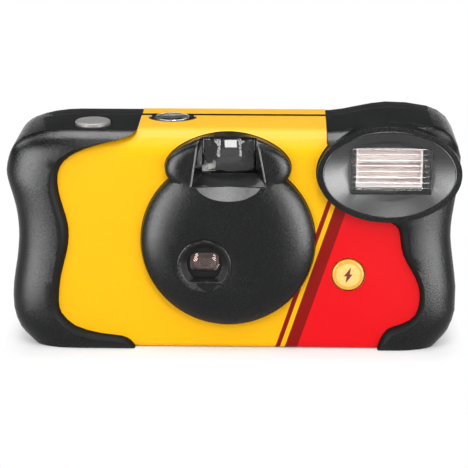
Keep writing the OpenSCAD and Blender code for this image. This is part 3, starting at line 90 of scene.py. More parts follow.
# fine grains of a moulding tool with wider clouds of handling
speck_low, speck_high, worn_low, worn_high = 0.36, 0.66, 0.3, 0.7
moulded_grain, ins, outs = effect_group(
    "moulded_grain",
    [("Place", "Vector"), ("Pitch", "Float"), ("Dark", "Color"), ("Light", "Color"),
     ("Smooth", "Float"), ("Rough", "Float")],
    [("Colour", "Color"), ("Roughness", "Float"), ("Height", "Float")])
grains = moulded_grain.nodes.new("ShaderNodeTexNoise")
grains.inputs["Detail"].default_value = 2.0
grains.inputs["Roughness"].default_value = 0.6
moulded_grain.links.new(ins.outputs["Place"], grains.inputs["Vector"])
moulded_grain.links.new(ins.outputs["Pitch"], grains.inputs["Scale"])
clouds = moulded_grain.nodes.new("ShaderNodeTexNoise")
clouds.inputs["Scale"].default_value = 90.0
clouds.inputs["Detail"].default_value = 3.0
moulded_grain.links.new(ins.outputs["Place"], clouds.inputs["Vector"])
speck = rescale(moulded_grain, grains.outputs["Fac"], speck_low, speck_high, 0.0, 1.0)
both = reckon(moulded_grain, "ADD", grains.outputs["Fac"], clouds.outputs["Fac"])
worn = rescale(moulded_grain, both, 0.0, 2.0, 0.0, 1.0)
speck_colour = blend_colours(moulded_grain, speck, ins.outputs["Dark"], ins.outputs["Light"])
worn_roughness = rescale(moulded_grain, worn, worn_low, worn_high,
                         ins.outputs["Smooth"], ins.outputs["Rough"])
moulded_grain.links.new(speck_colour, outs.inputs["Colour"])
moulded_grain.links.new(worn_roughness, outs.inputs["Roughness"])
moulded_grain.links.new(grains.outputs["Fac"], outs.inputs["Height"])


def new_finish(name):
    """A new material, with its tree, its shader and the place on the object in metres."""
    finish = bpy.data.materials.new(name)
    finish.use_nodes = True
    tree = finish.node_tree
    place = tree.nodes.new("ShaderNodeTexCoord").outputs["Object"]
    return finish, tree, tree.nodes["Principled BSDF"], place


def lay_grain(tree, place, pitch, dark, light, smooth, rough, depth, strength, edge=0.0):
    """Grain in a finish, with edges softened to a radius: links roughness and relief, gives the colour."""
    grain = tree.nodes.new("ShaderNodeGroup")
    grain.node_tree = moulded_grain
    grain.inputs["Pitch"].default_value = pitch
    grain.inputs["Dark"].default_value = (*dark, 1)
    grain.inputs["Light"].default_value = (*light, 1)
    grain.inputs["Smooth"].default_value = smooth
    grain.inputs["Rough"].default_value = rough
    tree.links.new(place, grain.inputs["Place"])
    relief = tree.nodes.new("ShaderNodeBump")
    relief.inputs["Strength"].default_value = strength
    relief.inputs["Distance"].default_value = depth
    tree.links.new(grain.outputs["Height"], relief.inputs["Height"])
    if edge:
        soften = tree.nodes.new("ShaderNodeBevel")
        soften.samples = 8
        soften.inputs["Radius"].default_value = edge
        tree.links.new(soften.outputs["Normal"], relief.inputs["Normal"])
    shader = tree.nodes["Principled BSDF"]
    tree.links.new(grain.outputs["Roughness"], shader.inputs["Roughness"])
    tree.links.new(relief.outputs["Normal"], shader.inputs["Normal"])
    return grain.outputs["Colour"]


def moulding(name, pitch, dark, light, smooth, rough, depth, strength=0.4, gleam=0.5, edge=0.0):
    """A moulded plastic: two tones, a roughness range, grains per metre and their depth, soft edges."""
    finish, tree, shader, place = new_finish(name)
    shader.inputs["Specular IOR Level"].default_value = gleam
    colour = lay_grain(tree, place, pitch, dark, light, smooth, rough, depth, strength, edge)
    tree.links.new(colour, shader.inputs["Base Color"])
    return finish


def dress(finish, *nodes):
    """Gives CAD nodes a finish in every slot."""
    for node in nodes:
        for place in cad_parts[node].material_slots:
            place.material = finish


frame_black = moulding("frame_black", pitch=2600, dark=(0.012, 0.012, 0.013), light=(0.026, 0.026, 0.028),
                       smooth=0.35, rough=0.55, depth=0.02 * mm)
dress(frame_black, "main_frame", "lens_mount", "aperture_disc", "release_lever",
      "shutter_blade", "supply_spool", "cartridge_spool", "thumbwheel")
# a darker, dull black for the lens retainer, also used as painted shade on the inner flanks of the grips
mask_and_shade_black = moulding("mask_and_shade_black", pitch=2600, dark=(0.003, 0.003, 0.003), light=(0.007, 0.007, 0.007),
                      smooth=0.5, rough=0.65, depth=0.02 * mm, gleam=0.1)
dress(mask_and_shade_black, "lens_retainer")

# Film cartridge and film.
# A rolled tin shell with two pressed caps, lacquered, holds the spool. The film is a
# brown-grey polyester strip wound emulsion inwards on the supply spool.
def streaked(name, dark, light, smooth, rough, metallic, along):
    """Metal, film or tape with fine streaks, drawn out by the scale given for each axis."""
    finish, tree, shader, place = new_finish(name)
    shader.inputs["Metallic"].default_value = metallic
    pull = tree.nodes.new("ShaderNodeMapping")
    pull.inputs["Scale"].default_value = along
    tree.links.new(place, pull.inputs["Vector"])
    colour = lay_grain(tree, pull.outputs["Vector"], 1.0, dark, light, smooth, rough, 0.01 * mm, 0.25)
    tree.links.new(colour, shader.inputs["Base Color"])
    return finish


lacquered_tin = streaked("lacquered_tin", dark=(0.62, 0.47, 0.05), light=(0.74, 0.58, 0.09),
                         smooth=0.22, rough=0.34, metallic=0.0, along=(300, 300, 2500))
pressed_tin = streaked("pressed_tin", dark=(0.52, 0.52, 0.53), light=(0.68, 0.68, 0.69),
                       smooth=0.22, rough=0.36, metallic=1.0, along=(1800, 1800, 200))
film_base = streaked("film_base", dark=(0.045, 0.028, 0.022), light=(0.07, 0.045, 0.035),
                     smooth=0.12, rough=0.24, metallic=0.0, along=(200, 200, 1800))
dress(lacquered_tin, "cartridge_shell")
dress(pressed_tin, "cartridge_caps")
dress(film_base, "film_strip", "film_roll")

# Film advance and counter.
# Sprocket and kicker are moulded in natural acetal, a milky white with a waxy shine. The
# counter wheel is grey, and is seen through the window in the deck.
acetal = moulding("acetal", pitch=1500, dark=(0.72, 0.71, 0.67), light=(0.82, 0.81, 0.77),
                  smooth=0.3, rough=0.45, depth=0.01 * mm, strength=0.2)
dial_grey = moulding("dial_grey", pitch=1500, dark=(0.2, 0.2, 0.195), light=(0.28, 0.275, 0.27),
                     smooth=0.35, rough=0.5, depth=0.01 * mm, strength=0.2)
dress(acetal, "sprocket", "kicker_lever")
dress(dial_grey, "counter_wheel")

# Springs and contacts.
# Both springs are drawn steel wire and the cell's end terminal is plated steel. The contacts
# and switch leaves are stamped from brass strip.
spring_wire = streaked("spring_wire", dark=(0.42, 0.42, 0.44), light=(0.6, 0.6, 0.62),
                       smooth=0.22, rough=0.34, metallic=1.0, along=(3000, 3000, 600))
brass_strip = streaked("brass_strip", dark=(0.58, 0.42, 0.15), light=(0.74, 0.56, 0.24),
                       smooth=0.2, rough=0.34, metallic=1.0, along=(2500, 400, 400))
dress(spring_wire, "kicker_spring", "shutter_spring", "battery_terminal")
dress(brass_strip, "flash_switch", "sync_contact", "positive_contact", "negative_contact")

# Flash circuit.
# A laminate board lacquered dark green, with a capacitor in a shrunk sleeve, taped windings
# and small moulded parts, fed by one cell in a plain dark jacket.
laminate = moulding("laminate", pitch=900, dark=(0.012, 0.02, 0.015), light=(0.02, 0.032, 0.024),
                    smooth=0.35, rough=0.5, depth=0.01 * mm)
shrink_sleeve = moulding("shrink_sleeve", pitch=700, dark=(0.010, 0.010, 0.012), light=(0.022, 0.022, 0.026),
                         smooth=0.16, rough=0.28, depth=0.01 * mm)
taped_copper = streaked("taped_copper", dark=(0.24, 0.11, 0.03), light=(0.42, 0.21, 0.06),
                        smooth=0.3, rough=0.45, metallic=0.0, along=(300, 300, 4000))
part_bodies = moulding("part_bodies", pitch=1200, dark=(0.05, 0.035, 0.025), light=(0.11, 0.08, 0.05),
                       smooth=0.35, rough=0.5, depth=0.01 * mm)
cell_jacket = streaked("cell_jacket", dark=(0.02, 0.02, 0.024), light=(0.04, 0.04, 0.045),
                       smooth=0.18, rough=0.3, metallic=0.0, along=(200, 1500, 1500))
dress(laminate, "circuit_board")
dress(shrink_sleeve, "flash_capacitor")
dress(taped_copper, "transformer", "trigger_coil")
dress(part_bodies, "board_parts")
dress(cell_jacket, "battery")

# Flash reflector.
# A trough bent from bright rolled aluminium sheet, behind the flash tube.
bright_sheet = streaked("bright_sheet", dark=(0.8, 0.75, 0.735), light=(0.9, 0.85, 0.835),
                        smooth=0.14, rough=0.26, metallic=1.0, along=(150, 2500, 2500))
dress(bright_sheet, "flash_reflector")

# Clear pieces.
# Lenses, windows and the light pipe are moulded in clear acrylic, and the flash tube is glass.
# Light passes to what lies behind them, and their faces keep a faint waviness.
def clear_moulding(name, tint, smooth, rough, depth=0.006 * mm, sheen=(1.0, 1.0, 1.0)):
    """Clear plastic that refracts, shines in a tone and lets lamp light through to what lies behind."""
    acrylic_ior, wave_pitch, wave_strength = 1.49, 420, 0.15
    finish, tree, shader, place = new_finish(name)
    shader.inputs["Base Color"].default_value = (*tint, 1)
    shader.inputs["IOR"].default_value = acrylic_ior
    shader.inputs["Transmission Weight"].default_value = 1.0
    shader.inputs["Specular Tint"].default_value = (*sheen, 1)
    lay_grain(tree, place, wave_pitch, tint, tint, smooth, rough, depth, wave_strength)
    ray = tree.nodes.new("ShaderNodeLightPath")
    through = tree.nodes.new("ShaderNodeBsdfTransparent")
    through.inputs["Color"].default_value = (*tint, 1)
    join = tree.nodes.new("ShaderNodeMixShader")
    tree.links.new(ray.outputs["Is Shadow Ray"], join.inputs["Fac"])
    tree.links.new(shader.outputs["BSDF"], join.inputs[1])
    tree.links.new(through.outputs["BSDF"], join.inputs[2])
    tree.links.new(join.outputs["Shader"], tree.nodes["Material Output"].inputs["Surface"])
    return finish


clear_acrylic = clear_moulding("clear_acrylic", tint=(0.96, 0.97, 0.97), smooth=0.02, rough=0.06)
lens_acrylic = clear_moulding("lens_acrylic", tint=(0.93, 0.84, 0.82), smooth=0.03, rough=0.06,
                              depth=0.0005 * mm, sheen=(1.0, 0.74, 0.68))
amber_acrylic = clear_moulding("amber_acrylic", tint=(0.95, 0.42, 0.08), smooth=0.05, rough=0.12)
dress(clear_acrylic, "viewfinder_lens", "eyepiece_lens", "flash_window", "counter_window")
dress(lens_acrylic, "taking_lens", "flash_tube")
dress(amber_acrylic, "ready_lamp", "light_pipe")

# Viewfinder window.
# A clear block with softly rounded lower corners, clipped in behind the funnel. Its back is
# hollowed to a sphere, so that it makes the view through the eyepiece small.
glass_low, glass_high = Vector((-7.8, -12.2, 48.9)) * mm, Vector((5.8, -9.4, 57.7)) * mm
corner_r, front_round, hollow_r, thinnest = 2.0 * mm, 0.35 * mm, 13.2 * mm, 0.6 * mm
glass_middle, glass_size = (glass_low + glass_high) / 2, glass_high - glass_low
bpy.ops.object.select_all(action="DESELECT")
bpy.ops.mesh.primitive_cube_add(size=1.0, location=(0, 0, 0))
finder_glass = bpy.context.object
finder_glass.name = "finder_glass"
bpy.ops.object.mode_set(mode="EDIT")
bpy.ops.transform.resize(value=glass_size)
bpy.ops.transform.translate(value=glass_middle)
bpy.ops.object.mode_set(mode="OBJECT")


def pick_edges(piece, wanted):
    """Selects the edges of a piece whose two ends fit, in edit mode."""
    bpy.ops.object.mode_set(mode="EDIT")
    bpy.ops.mesh.select_mode(type="EDGE")
    bpy.ops.mesh.select_all(action="DESELECT")
    bpy.ops.object.mode_set(mode="OBJECT")
    for edge in piece.data.edges:
        first, second = (piece.data.vertices[index].co for index in edge.vertices)
        edge.select = wanted(first, second)
    bpy.ops.object.mode_set(mode="EDIT")


# first the two lower edges along the depth, then all edges of the front face
pick_edges(finder_glass, lambda a, b: abs(a.y - b.y) > mm and a.z < glass_middle.z)
bpy.ops.mesh.bevel(offset=corner_r, segments=6, affect="EDGES")
pick_edges(finder_glass, lambda a, b: max(a.y, b.y) < glass_middle.y)
bpy.ops.mesh.bevel(offset=front_round, segments=3, affect="EDGES")
bpy.ops.object.mode_set(mode="OBJECT")
bpy.ops.object.select_all(action="DESELECT")
ball_middle = (glass_middle.x, glass_low.y + thinnest + hollow_r, glass_middle.z)
bpy.ops.mesh.primitive_uv_sphere_add(segments=96, ring_count=64, radius=hollow_r, location=ball_middle)
ball = bpy.context.object
ball.select_set(False)
bpy.context.view_layer.objects.active = finder_glass
finder_glass.select_set(True)
hollow = finder_glass.modifiers.new("hollow", "BOOLEAN")
hollow.operation = "DIFFERENCE"
hollow.object = ball
bpy.ops.object.modifier_apply(modifier=hollow.name)
bpy.data.objects.remove(ball)
bpy.ops.object.shade_smooth_by_angle(angle=math.radians(35))
finder_glass.data.materials.append(clear_acrylic)
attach(finder_glass, "casing")
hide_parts("viewfinder_lens")

# Front cover.
# A shell moulded in black polystyrene, with grips, lens panel, finder hood and flash pod in
# one. The tool is spark eroded, so most of it carries a fine grain, and parts are smoother.
def recast(node, name, body, smooth_below):
    """A copy of a CAD node with its triangles joined and its curves shaded smooth, in the node's stead."""
    bpy.ops.object.select_all(action="DESELECT")
    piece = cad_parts[node].copy()
    piece.data = piece.data.copy()
    piece.name = name
    piece.data.name = name
    piece.parent = None
    for key in list(piece.keys()):
        del piece[key]
    bpy.context.scene.collection.objects.link(piece)
    bpy.context.view_layer.objects.active = piece
    piece.select_set(True)
    bpy.ops.mesh.customdata_custom_splitnormals_clear()
    bpy.ops.object.mode_set(mode="EDIT")
    bpy.ops.mesh.select_all(action="SELECT")
    bpy.ops.mesh.remove_doubles(threshold=0.001 * mm)
    bpy.ops.object.mode_set(mode="OBJECT")
    bpy.ops.object.shade_smooth_by_angle(angle=math.radians(smooth_below))
    piece.select_set(False)
    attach(piece, body)
    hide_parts(node)
    return piece


def coat(piece, finish):
    """Gives a piece one finish."""
    piece.data.materials.clear()
    piece.data.materials.append(finish)


def coat_where(piece, finish, fits):
    """A further finish on the faces that fit, by their middle in millimetres and their normal."""
    if finish.name not in piece.data.materials:
        piece.data.materials.append(finish)
    for face in piece.data.polygons:
        if fits(*(face.center / mm), face.normal):
            face.material_index = piece.data.materials.find(finish.name)


grained_black = moulding("grained_black", pitch=2900, dark=(0.0012, 0.0014, 0.0014),
                         light=(0.006, 0.0065, 0.0065), smooth=0.18, rough=0.33,
                         depth=0.07 * mm, strength=1.0, gleam=0.22, edge=0.18 * mm)
polished_black = moulding("polished_black", pitch=2200, dark=(0.003, 0.0032, 0.0032),
                          light=(0.006, 0.0062, 0.0062), smooth=0.17, rough=0.22,
                          depth=0.01 * mm, strength=0.2, edge=0.2 * mm)
satin_black = moulding("satin_black", pitch=2600, dark=(0.003, 0.0032, 0.0032),
                       light=(0.006, 0.0062, 0.0062), smooth=0.3, rough=0.44,
                       depth=0.06 * mm, strength=1.0, gleam=0.6, edge=0.2 * mm)
# painted highlight: the slanted facet gets a lighter grain tone and full gloss, for the bright light it
# catches from above
facet_highlight_black = moulding("facet_highlight_black", pitch=2600, dark=(0.004, 0.0042, 0.0042), light=(0.03, 0.03, 0.03),
                       smooth=0.3, rough=0.38, depth=0.06 * mm, strength=1.0, gleam=1.0)
front_shell = recast("front_cover", "front_shell", "casing", smooth_below=23.5)
coat(front_shell, grained_black)

# places and zones on the cover in millimetres
funnel_x, lens_x, lens_z, dish_x, dish_z = -1.0, -7.4, 24.7, 41.15, 49.4
dish_half, dish_y = (17.9, 11.9), (-16.7, -8)
funnel_half, funnel_y, funnel_z = 10, (-17.75, -9), (44, 58.6)
facet_half, facet_back_y, facet_z, facet_tilt = 13, -16.5, (40, 46), 0.35
cone_r, cone_y, lens_ring_r, lens_ring_back_y = 6.6, (-19.1, -9), 7.3, -18
pod_half, flank_x, flank_y, flank_top, flank_turn = (19.5, 13.5), 24, (-16.58, -13.8), 58, 0.15
foot_top, foot_tilt = 14, 0.2


def between(value, span):
    """Whether a value lies within a span."""
    return span[0] < value < span[1]


def from_dish(x, z, half):
    """How far a place lies from the middle of the flash dish, with 1 on the ellipse of that half size."""
    return math.hypot((x - dish_x) / half[0], (z - dish_z) / half[1])


def from_lens(x, z):
    """How far a place lies from the axis of the taking lens."""
    return math.hypot(x - lens_x, z - lens_z)


def on_flank(x, y, z, n):
    """The inner flanks of the grips beside the label, without the flash pod."""
    beside_label = abs(x) > flank_x and between(y, flank_y) and z < flank_top
    turned_in = n.x * x < -flank_turn * abs(x)
    on_foot = z < foot_top and n.z > foot_tilt
    return beside_label and from_dish(x, z, pod_half) > 1 and (turned_in or on_foot)


def on_facet(x, y, z, n):
    """The slanted facet below the funnel's mouth."""
    return abs(x - funnel_x) < facet_half and between(z, facet_z) and y < facet_back_y and n.z > facet_tilt


def in_funnel(x, y, z, n):
    """The walls of the finder funnel."""
    return abs(x - funnel_x) < funnel_half and between(z, funnel_z) and between(y, funnel_y)


# satin in the flash dish and the lens cone, polished in the funnel and on the ring round the cone,
# a lighter, glossier black on the facet as painted highlight, and a dull black on the flanks as painted shade
coat_where(front_shell, satin_black, lambda x, y, z, n: from_dish(x, z, dish_half) < 1 and between(y, dish_y))
coat_where(front_shell, polished_black, in_funnel)
coat_where(front_shell, facet_highlight_black, on_facet)
coat_where(front_shell, satin_black, lambda x, y, z, n: from_lens(x, z) < cone_r and between(y, cone_y))
coat_where(front_shell, polished_black,
           lambda x, y, z, n: cone_r < from_lens(x, z) < lens_ring_r and y < lens_ring_back_y)
# painted shade: the dull black on the inner flanks of the grips beside the label
coat_where(front_shell, mask_and_shade_black, on_flank)

# the side walls of the finder funnel lean in towards the top, most at the mouth
mouth_half, mouth_y, throat_half, throat_y = 9.9, -17.2, 7.09, -12.7
mouth_low, mouth_high, hood_high, round_low = 46.0, 57.0, 58.4, 54.0
lean_most, lean_rise = {-1: 1.7, 1: 2.1}, 0.32
bead_back_y, on_wall, above_sill = -17.0, 0.03, 0.05
mouth_edges = {-1: [], 1: []}
for point in front_shell.data.vertices:
    x, y, z = point.co / mm
    depth = min(max((y - mouth_y) / (throat_y - mouth_y), 0.0), 1.0)
    wall = mouth_half + (throat_half - mouth_half) * depth
    off_wall = abs(abs(x - funnel_x) - wall) > on_wall
    if off_wall or depth == 1.0 or not mouth_low + above_sill < z < hood_high:
        continue
    side = 1 if x > funnel_x else -1
    height = min((z - mouth_low) / (mouth_high - mouth_low), 1.0)
    lean = lean_most[side] * height * (1 - depth)
    rise = lean_rise * lean if z > round_low else 0.0
    point.co += Vector((-side * lean, 0.0, rise)) * mm
    if y < bead_back_y:
        mouth_edges[side].append(point.co.copy())

# Beads of the front cover.
# Slim rounded lips of the same moulding, polished by the tool, break the side edges of the
# funnel's mouth and the edge of the flash dish.
def bead(name, lines, thick, closed=False):
    """A slim bead along one or more lines of points, on the casing."""
    path = bpy.data.curves.new(name, "CURVE")
    path.dimensions = "3D"
    path.bevel_depth = thick
    path.bevel_resolution = 3
    path.use_fill_caps = True
    for places in lines:
        spline = path.splines.new("POLY")
        spline.points.add(len(places) - 1)
        spline.use_cyclic_u = closed
        for point, place in zip(spline.points, places):
            point.co = (*place, 1.0)
    bpy.ops.object.select_all(action="DESELECT")
    piece = bpy.data.objects.new(name, path)
    bpy.context.scene.collection.objects.link(piece)
    bpy.context.view_layer.objects.active = piece
    piece.select_set(True)
    bpy.ops.object.convert(target="MESH")
    piece = bpy.context.object
    bpy.ops.object.shade_smooth_by_angle(angle=math.radians(50))
    piece.select_set(False)
    coat(piece, polished_black)
    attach(piece, "casing")


funnel_bead_r, dish_bead_r, bead_step = 0.3 * mm, 0.22 * mm, 0.3 * mm
side_lines = []
for places in mouth_edges.values():
    places.sort(key=lambda place: place.z)
    kept = [places[0]]
    for place in places:
        if (place - kept[-1]).length > bead_step:
            kept.append(place)
    side_lines.append(kept)
bead("funnel_beads", side_lines, funnel_bead_r)
edge_a, edge_b, edge_y, edge_points = 17.3, 11.5, -16.75, 96
dish_edge = []
for step in range(edge_points):
    turn = 2 * math.pi * step / edge_points
    out, up = edge_a * math.cos(turn), edge_b * math.sin(turn)
    dish_edge.append(Vector((dish_x + out, edge_y, dish_z + up)) * mm)
bead("dish_bead", [dish_edge], dish_bead_r, closed=True)

# Rear cover and film door.
# The rear shell snaps into the front one, and the door under the cartridge hinges in the base.
# Both are moulded like the front cover. The flat tops of both decks get a duller, less glossy black, as
# painted shade on the deck.
rear_shell = recast("rear_cover", "rear_shell", "casing", smooth_below=32)
coat(rear_shell, grained_black)
deck_shade_black = moulding("deck_shade_black", pitch=2600, dark=(0.003, 0.0034, 0.0034), light=(0.007, 0.0075, 0.0075),
                      smooth=0.34, rough=0.46, depth=0.05 * mm, strength=1.0, gleam=0.1, edge=0.18 * mm)
# painted shade: a duller, less glossy black on the flat tops of both decks
deck_low, deck_level = 59, 0.97
for shell in (front_shell, rear_shell):
    coat_where(shell, deck_shade_black, lambda x, y, z, n: z > deck_low and n.z > deck_level)
door_shell = recast("film_door", "door_shell", "door", smooth_below=32)
coat(door_shell, grained_black)

# Paper label.
# A band of coated card, printed in yellow and red and varnished, wraps the front, deck,
# base and back, and is glued into a shallow seat in the covers.
yellow = (0.88, 0.455, 0.0)
red = (0.7, 0.002, 0.006)
dark_red = (0.23, 0.002, 0.0)


def printed_card(name, slant, start, stripes):
    """Varnished card in yellow, with inks that begin at places along a slant, counted from a start."""
    ink_edge, fibre_shade = 0.06 * mm, 0.97
    finish, tree, shader, place = new_finish(name)
    shader.inputs["Specular IOR Level"].default_value = 0.12
    across = tree.nodes.new("ShaderNodeVectorMath")
    across.operation = "DOT_PRODUCT"
    across.inputs[1].default_value = slant
    tree.links.new(place, across.inputs[0])
    shaded = tuple(part * fibre_shade for part in yellow)
    colour = lay_grain(tree, place, pitch=1500, dark=shaded, light=yellow,
                       smooth=0.3, rough=0.42, depth=0.01 * mm, strength=0.12)
    for begin, ink in stripes:
        edge = start + begin * mm
        mask = rescale(tree, across.outputs["Value"], edge, edge + ink_edge, 0.0, 1.0)
        colour = blend_colours(tree, mask, colour, ink)
    tree.links.new(colour, shader.inputs["Base Color"])
    return finish


cut_card = moulding("cut_card", pitch=1800, dark=(0.72, 0.62, 0.4), light=(0.86, 0.76, 0.55),
                    smooth=0.6, rough=0.75, depth=0.01 * mm, strength=0.2, gleam=0.2)


def bare_edges(card, seam_y):
    """The bare edge of the card on faces that look sideways, and black painted on its edges at the parting
    line as the shade in the seam.
    """
    coat_where(card, cut_card, lambda x, y, z, n: abs(n.x) > 0.3)
    # painted shade: the card's edges that face the seam take the black of the cover
    coat_where(card, grained_black, lambda x, y, z, n: abs(n.y) > 0.9 and abs(y - seam_y) < 0.05)


front_card = recast("front_label", "front_card", "casing", smooth_below=28)
coat(front_card, printed_card("front_print", slant=(0.95, 0.0, -0.3133), start=16.34 * mm,
                              stripes=[(-5.6, dark_red), (-4.4, yellow), (-3.2, dark_red), (0.0, red)]))
bare_edges(front_card, 5.0)
rear_card = recast("rear_label", "rear_card", "casing", smooth_below=28)
coat(rear_card, printed_card("rear_print", slant=(0.0, 0.0, -1.0), start=-16 * mm,
                             stripes=[(-2.6, dark_red), (0.0, red)]))
bare_edges(rear_card, 7.0)

# Buttons.
# Both are moulded ABS and slide in holes of the front cover. The shutter button is silver-grey,
# and the flash button is cream, with a printed bolt sign and an orange ring painted round its edge as shade.
silver_abs = moulding("silver_abs", pitch=1800, dark=(0.17, 0.165, 0.157), light=(0.24, 0.232, 0.222),
                      smooth=0.3, rough=0.42, depth=0.02 * mm, strength=0.25)
shutter_cap = recast("shutter_button", "shutter_cap", "button", smooth_below=35)
coat(shutter_cap, silver_abs)


def inside_triangle(tree, place, corners):
    """A mask of 1 inside a triangle given by its corners in x and z, anticlockwise, in metres."""
    ink_edge = 0.06 * mm
    inside = None
    for (x0, z0), (x1, z1) in zip(corners, corners[1:] + corners[:1]):
        inwards = Vector((z0 - z1, 0.0, x1 - x0)).normalized()
        along = tree.nodes.new("ShaderNodeVectorMath")
        along.operation = "DOT_PRODUCT"
        along.inputs[1].default_value = inwards
        tree.links.new(place, along.inputs[0])
        side = inwards.dot(Vector((x0, 0.0, z0)))
        mask = rescale(tree, along.outputs["Value"], side, side + ink_edge, 0.0, 1.0)
        inside = mask if inside is None else reckon(tree, "MINIMUM", inside, mask)
    return inside


def chain(tree, vector, steps):
    """A vector taken through steps of vector maths, each with a fixed second vector or none."""
    for operation, amount in steps:
        node = tree.nodes.new("ShaderNodeVectorMath")
        node.operation = operation
        if amount:
            node.inputs[1].default_value = amount
        tree.links.new(vector, node.inputs[0])
        vector = node.outputs["Value" if operation == "LENGTH" else "Vector"]
    return vector


# the bolt is two slim triangles about the middle of the button, which is given in millimetres
bolt_x, bolt_z, rim_start, rim_full = 30.85, 21.2, 3.1 * mm, 3.3 * mm
rim_shade_orange, bolt_brown = (0.78, 0.36, 0.03), (0.16, 0.008, 0.002)
flash_cap = recast("flash_button", "flash_cap", "flash_press", smooth_below=35)
cream_abs, tree, shader, place = new_finish("cream_abs")
coat(flash_cap, cream_abs)
colour = lay_grain(tree, place, pitch=1400, dark=(0.78, 0.52, 0.13), light=(0.86, 0.6, 0.18),
                   smooth=0.25, rough=0.36, depth=0.01 * mm, strength=0.2)
from_middle = chain(tree, place, [("SUBTRACT", (bolt_x * mm, 0, bolt_z * mm)), ("MULTIPLY", (1, 0, 1)),
                                  ("LENGTH", None)])
# painted shade: an orange ring round the outer edge of the button
colour = blend_colours(tree, rescale(tree, from_middle, rim_start, rim_full, 0.0, 1.0), colour, rim_shade_orange)
for corners in ([(0.75, 2.3), (-1.25, -0.3), (0.35, -0.3)], [(-0.75, -2.3), (1.25, 0.3), (-0.35, 0.3)]):
    spots = [((bolt_x + x) * mm, (bolt_z + z) * mm) for x, z in corners]
    colour = blend_colours(tree, inside_triangle(tree, place, spots), colour, bolt_brown)
tree.links.new(colour, shader.inputs["Base Color"])

# Studio sheet.
# A pale matt sheet under the object. Away from the object it shows as plain white to the camera
# and in gloss, and near the object it keeps the shadow. It gives the object no more light.
sheet_wide, sheet_deep = 160 * mm, 320 * mm
bpy.ops.object.select_all(action="DESELECT")
bpy.ops.mesh.primitive_plane_add(size=1.0, location=(0, 0, 0))
sheet = bpy.context.object
sheet.name = "studio_sheet"
bpy.ops.object.mode_set(mode="EDIT")
bpy.ops.transform.resize(value=(sheet_wide, sheet_deep, 1.0))
bpy.ops.object.mode_set(mode="OBJECT")
foot_x, foot_y, shadow_reach, least_white = 52 * mm, 13.5 * mm, 11 * mm, 0.1
paper, tree, shader, place = new_finish("studio_white")
shader.inputs["Base Color"].default_value = (0.72, 0.72, 0.72, 1)
shader.inputs["Roughness"].default_value = 0.9
white = tree.nodes.new("ShaderNodeEmission")
ray = tree.nodes.new("ShaderNodeLightPath")
seen = reckon(tree, "MAXIMUM", ray.outputs["Is Camera Ray"], ray.outputs["Is Glossy Ray"])
seen = reckon(tree, "MAXIMUM", seen, ray.outputs["Is Transmission Ray"])
beyond_foot = chain(tree, place, [("ABSOLUTE", None), ("SUBTRACT", (foot_x, foot_y, 0)),
                                  ("MAXIMUM", (0, 0, 0)), ("LENGTH", None)])
far_out = rescale(tree, beyond_foot, 0.0, shadow_reach, least_white, 1.0)
join = tree.nodes.new("ShaderNodeMixShader")
tree.links.new(reckon(tree, "MULTIPLY", far_out, seen), join.inputs["Fac"])
tree.links.new(shader.outputs["BSDF"], join.inputs[1])
tree.links.new(white.outputs["Emission"], join.inputs[2])
tree.links.new(join.outputs["Shader"], tree.nodes["Material Output"].inputs["Surface"])
coat(sheet, paper)

# Room.
# A dim room above a white wall that stands low all round.
wall_top, room_low, wall_glow, room_glow = 0.02, 0.08, 1.0, 0.06
room = bpy.data.worlds.new("studio")
bpy.context.scene.world = room
room.use_nodes = True
tree = room.node_tree
background = tree.nodes["Background"]
background.inputs["Color"].default_value = (1, 1, 1, 1)
around = tree.nodes.new("ShaderNodeTexCoord")
split = tree.nodes.new("ShaderNodeSeparateXYZ")
tree.links.new(around.outputs["Generated"], split.inputs["Vector"])
strength = rescale(tree, split.outputs["Z"], wall_top, room_low, wall_glow, room_glow)
tree.links.new(strength, background.inputs["Strength"])

# Lamps.
# One large soft box in front and above, soft fills that light matt faces without showing in
# gloss, and cards that only show in gloss, as highlights along the grips, rims and deck.
middle = Vector((0, 0, 30.2 * mm))


def towards(azimuth, elevation):
    """The direction out from the object: azimuth 0 is the front, 90 its right side."""
    a, e = math.radians(azimuth), math.radians(elevation)
    return Vector((math.sin(a) * math.cos(e), -math.cos(a) * math.cos(e), math.sin(e)))


def aim(name, thing, azimuth, elevation, away):
    """An object for a lamp or camera that looks at the middle from a direction and a distance."""
    holder = bpy.data.objects.new(name, thing)
    back = towards(azimuth, elevation)
    holder.location = middle + back * away
    holder.rotation_euler = (-back).to_track_quat("-Z", "Y").to_euler()
    bpy.context.scene.collection.objects.link(holder)
    return holder


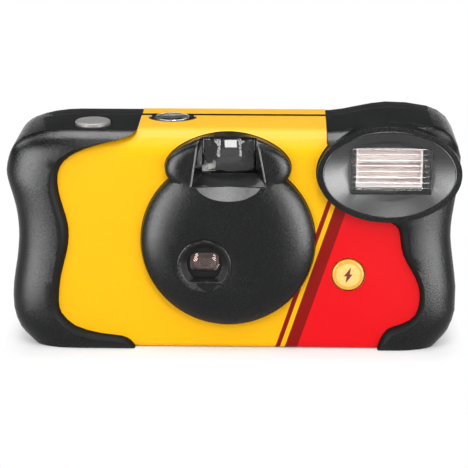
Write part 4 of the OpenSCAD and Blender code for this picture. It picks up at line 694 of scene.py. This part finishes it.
def soft_box(name, azimuth, elevation, away, wide, high, glow, shows=True, lights=True):
    """A rectangular lamp of that radiance, which shows in gloss, lights matt faces, or both."""
    lamp = bpy.data.lights.new(name, "AREA")
    lamp.shape = "RECTANGLE"
    lamp.size, lamp.size_y = wide, high
    lamp.energy = glow * math.pi * wide * high
    holder = aim(name, lamp, azimuth, elevation, away)
    holder.visible_glossy = shows
    holder.visible_transmission = shows
    holder.visible_diffuse = lights


soft_box("front_box", azimuth=2, elevation=52, away=0.65, wide=0.20, high=0.33, glow=9.5)
soft_box("left_fill", azimuth=-45, elevation=20, away=0.60, wide=0.30, high=0.30, glow=4.2, shows=False)
soft_box("right_fill", azimuth=45, elevation=20, away=0.60, wide=0.30, high=0.30, glow=4.2, shows=False)
soft_box("top_fill", azimuth=0, elevation=75, away=0.65, wide=0.30, high=0.30, glow=7.0, shows=False)
soft_box("rear_fill", azimuth=180, elevation=28, away=0.70, wide=0.40, high=0.40, glow=5.0, shows=False)
soft_box("left_card", azimuth=-47, elevation=6, away=0.40, wide=0.24, high=0.36, glow=15.5, lights=False)
soft_box("right_card", azimuth=47, elevation=4, away=0.40, wide=0.24, high=0.34, glow=16.5, lights=False)
soft_box("left_rim", azimuth=-100, elevation=38, away=0.45, wide=0.20, high=0.20, glow=7.0, lights=False)
soft_box("right_rim", azimuth=100, elevation=38, away=0.45, wide=0.20, high=0.20, glow=6.0, lights=False)
soft_box("back_card", azimuth=180, elevation=70, away=0.65, wide=0.50, high=0.18, glow=16.0, lights=False)
soft_box("top_strip", azimuth=-20, elevation=85, away=0.60, wide=0.50, high=0.10, glow=30.0, lights=False)

# Camera.
# A long lens at the height and side of the photograph.
eye = bpy.data.cameras.new("photo_camera")
eye.sensor_width = 36.0
eye.lens = 146.5
eye.shift_y = -0.0167
eye.clip_start, eye.clip_end = 0.01, 20.0
bpy.context.scene.camera = aim("photo_camera", eye, azimuth=1.5, elevation=16.6, away=520 * mm)
bpy.context.scene.view_settings.view_transform = "Standard"
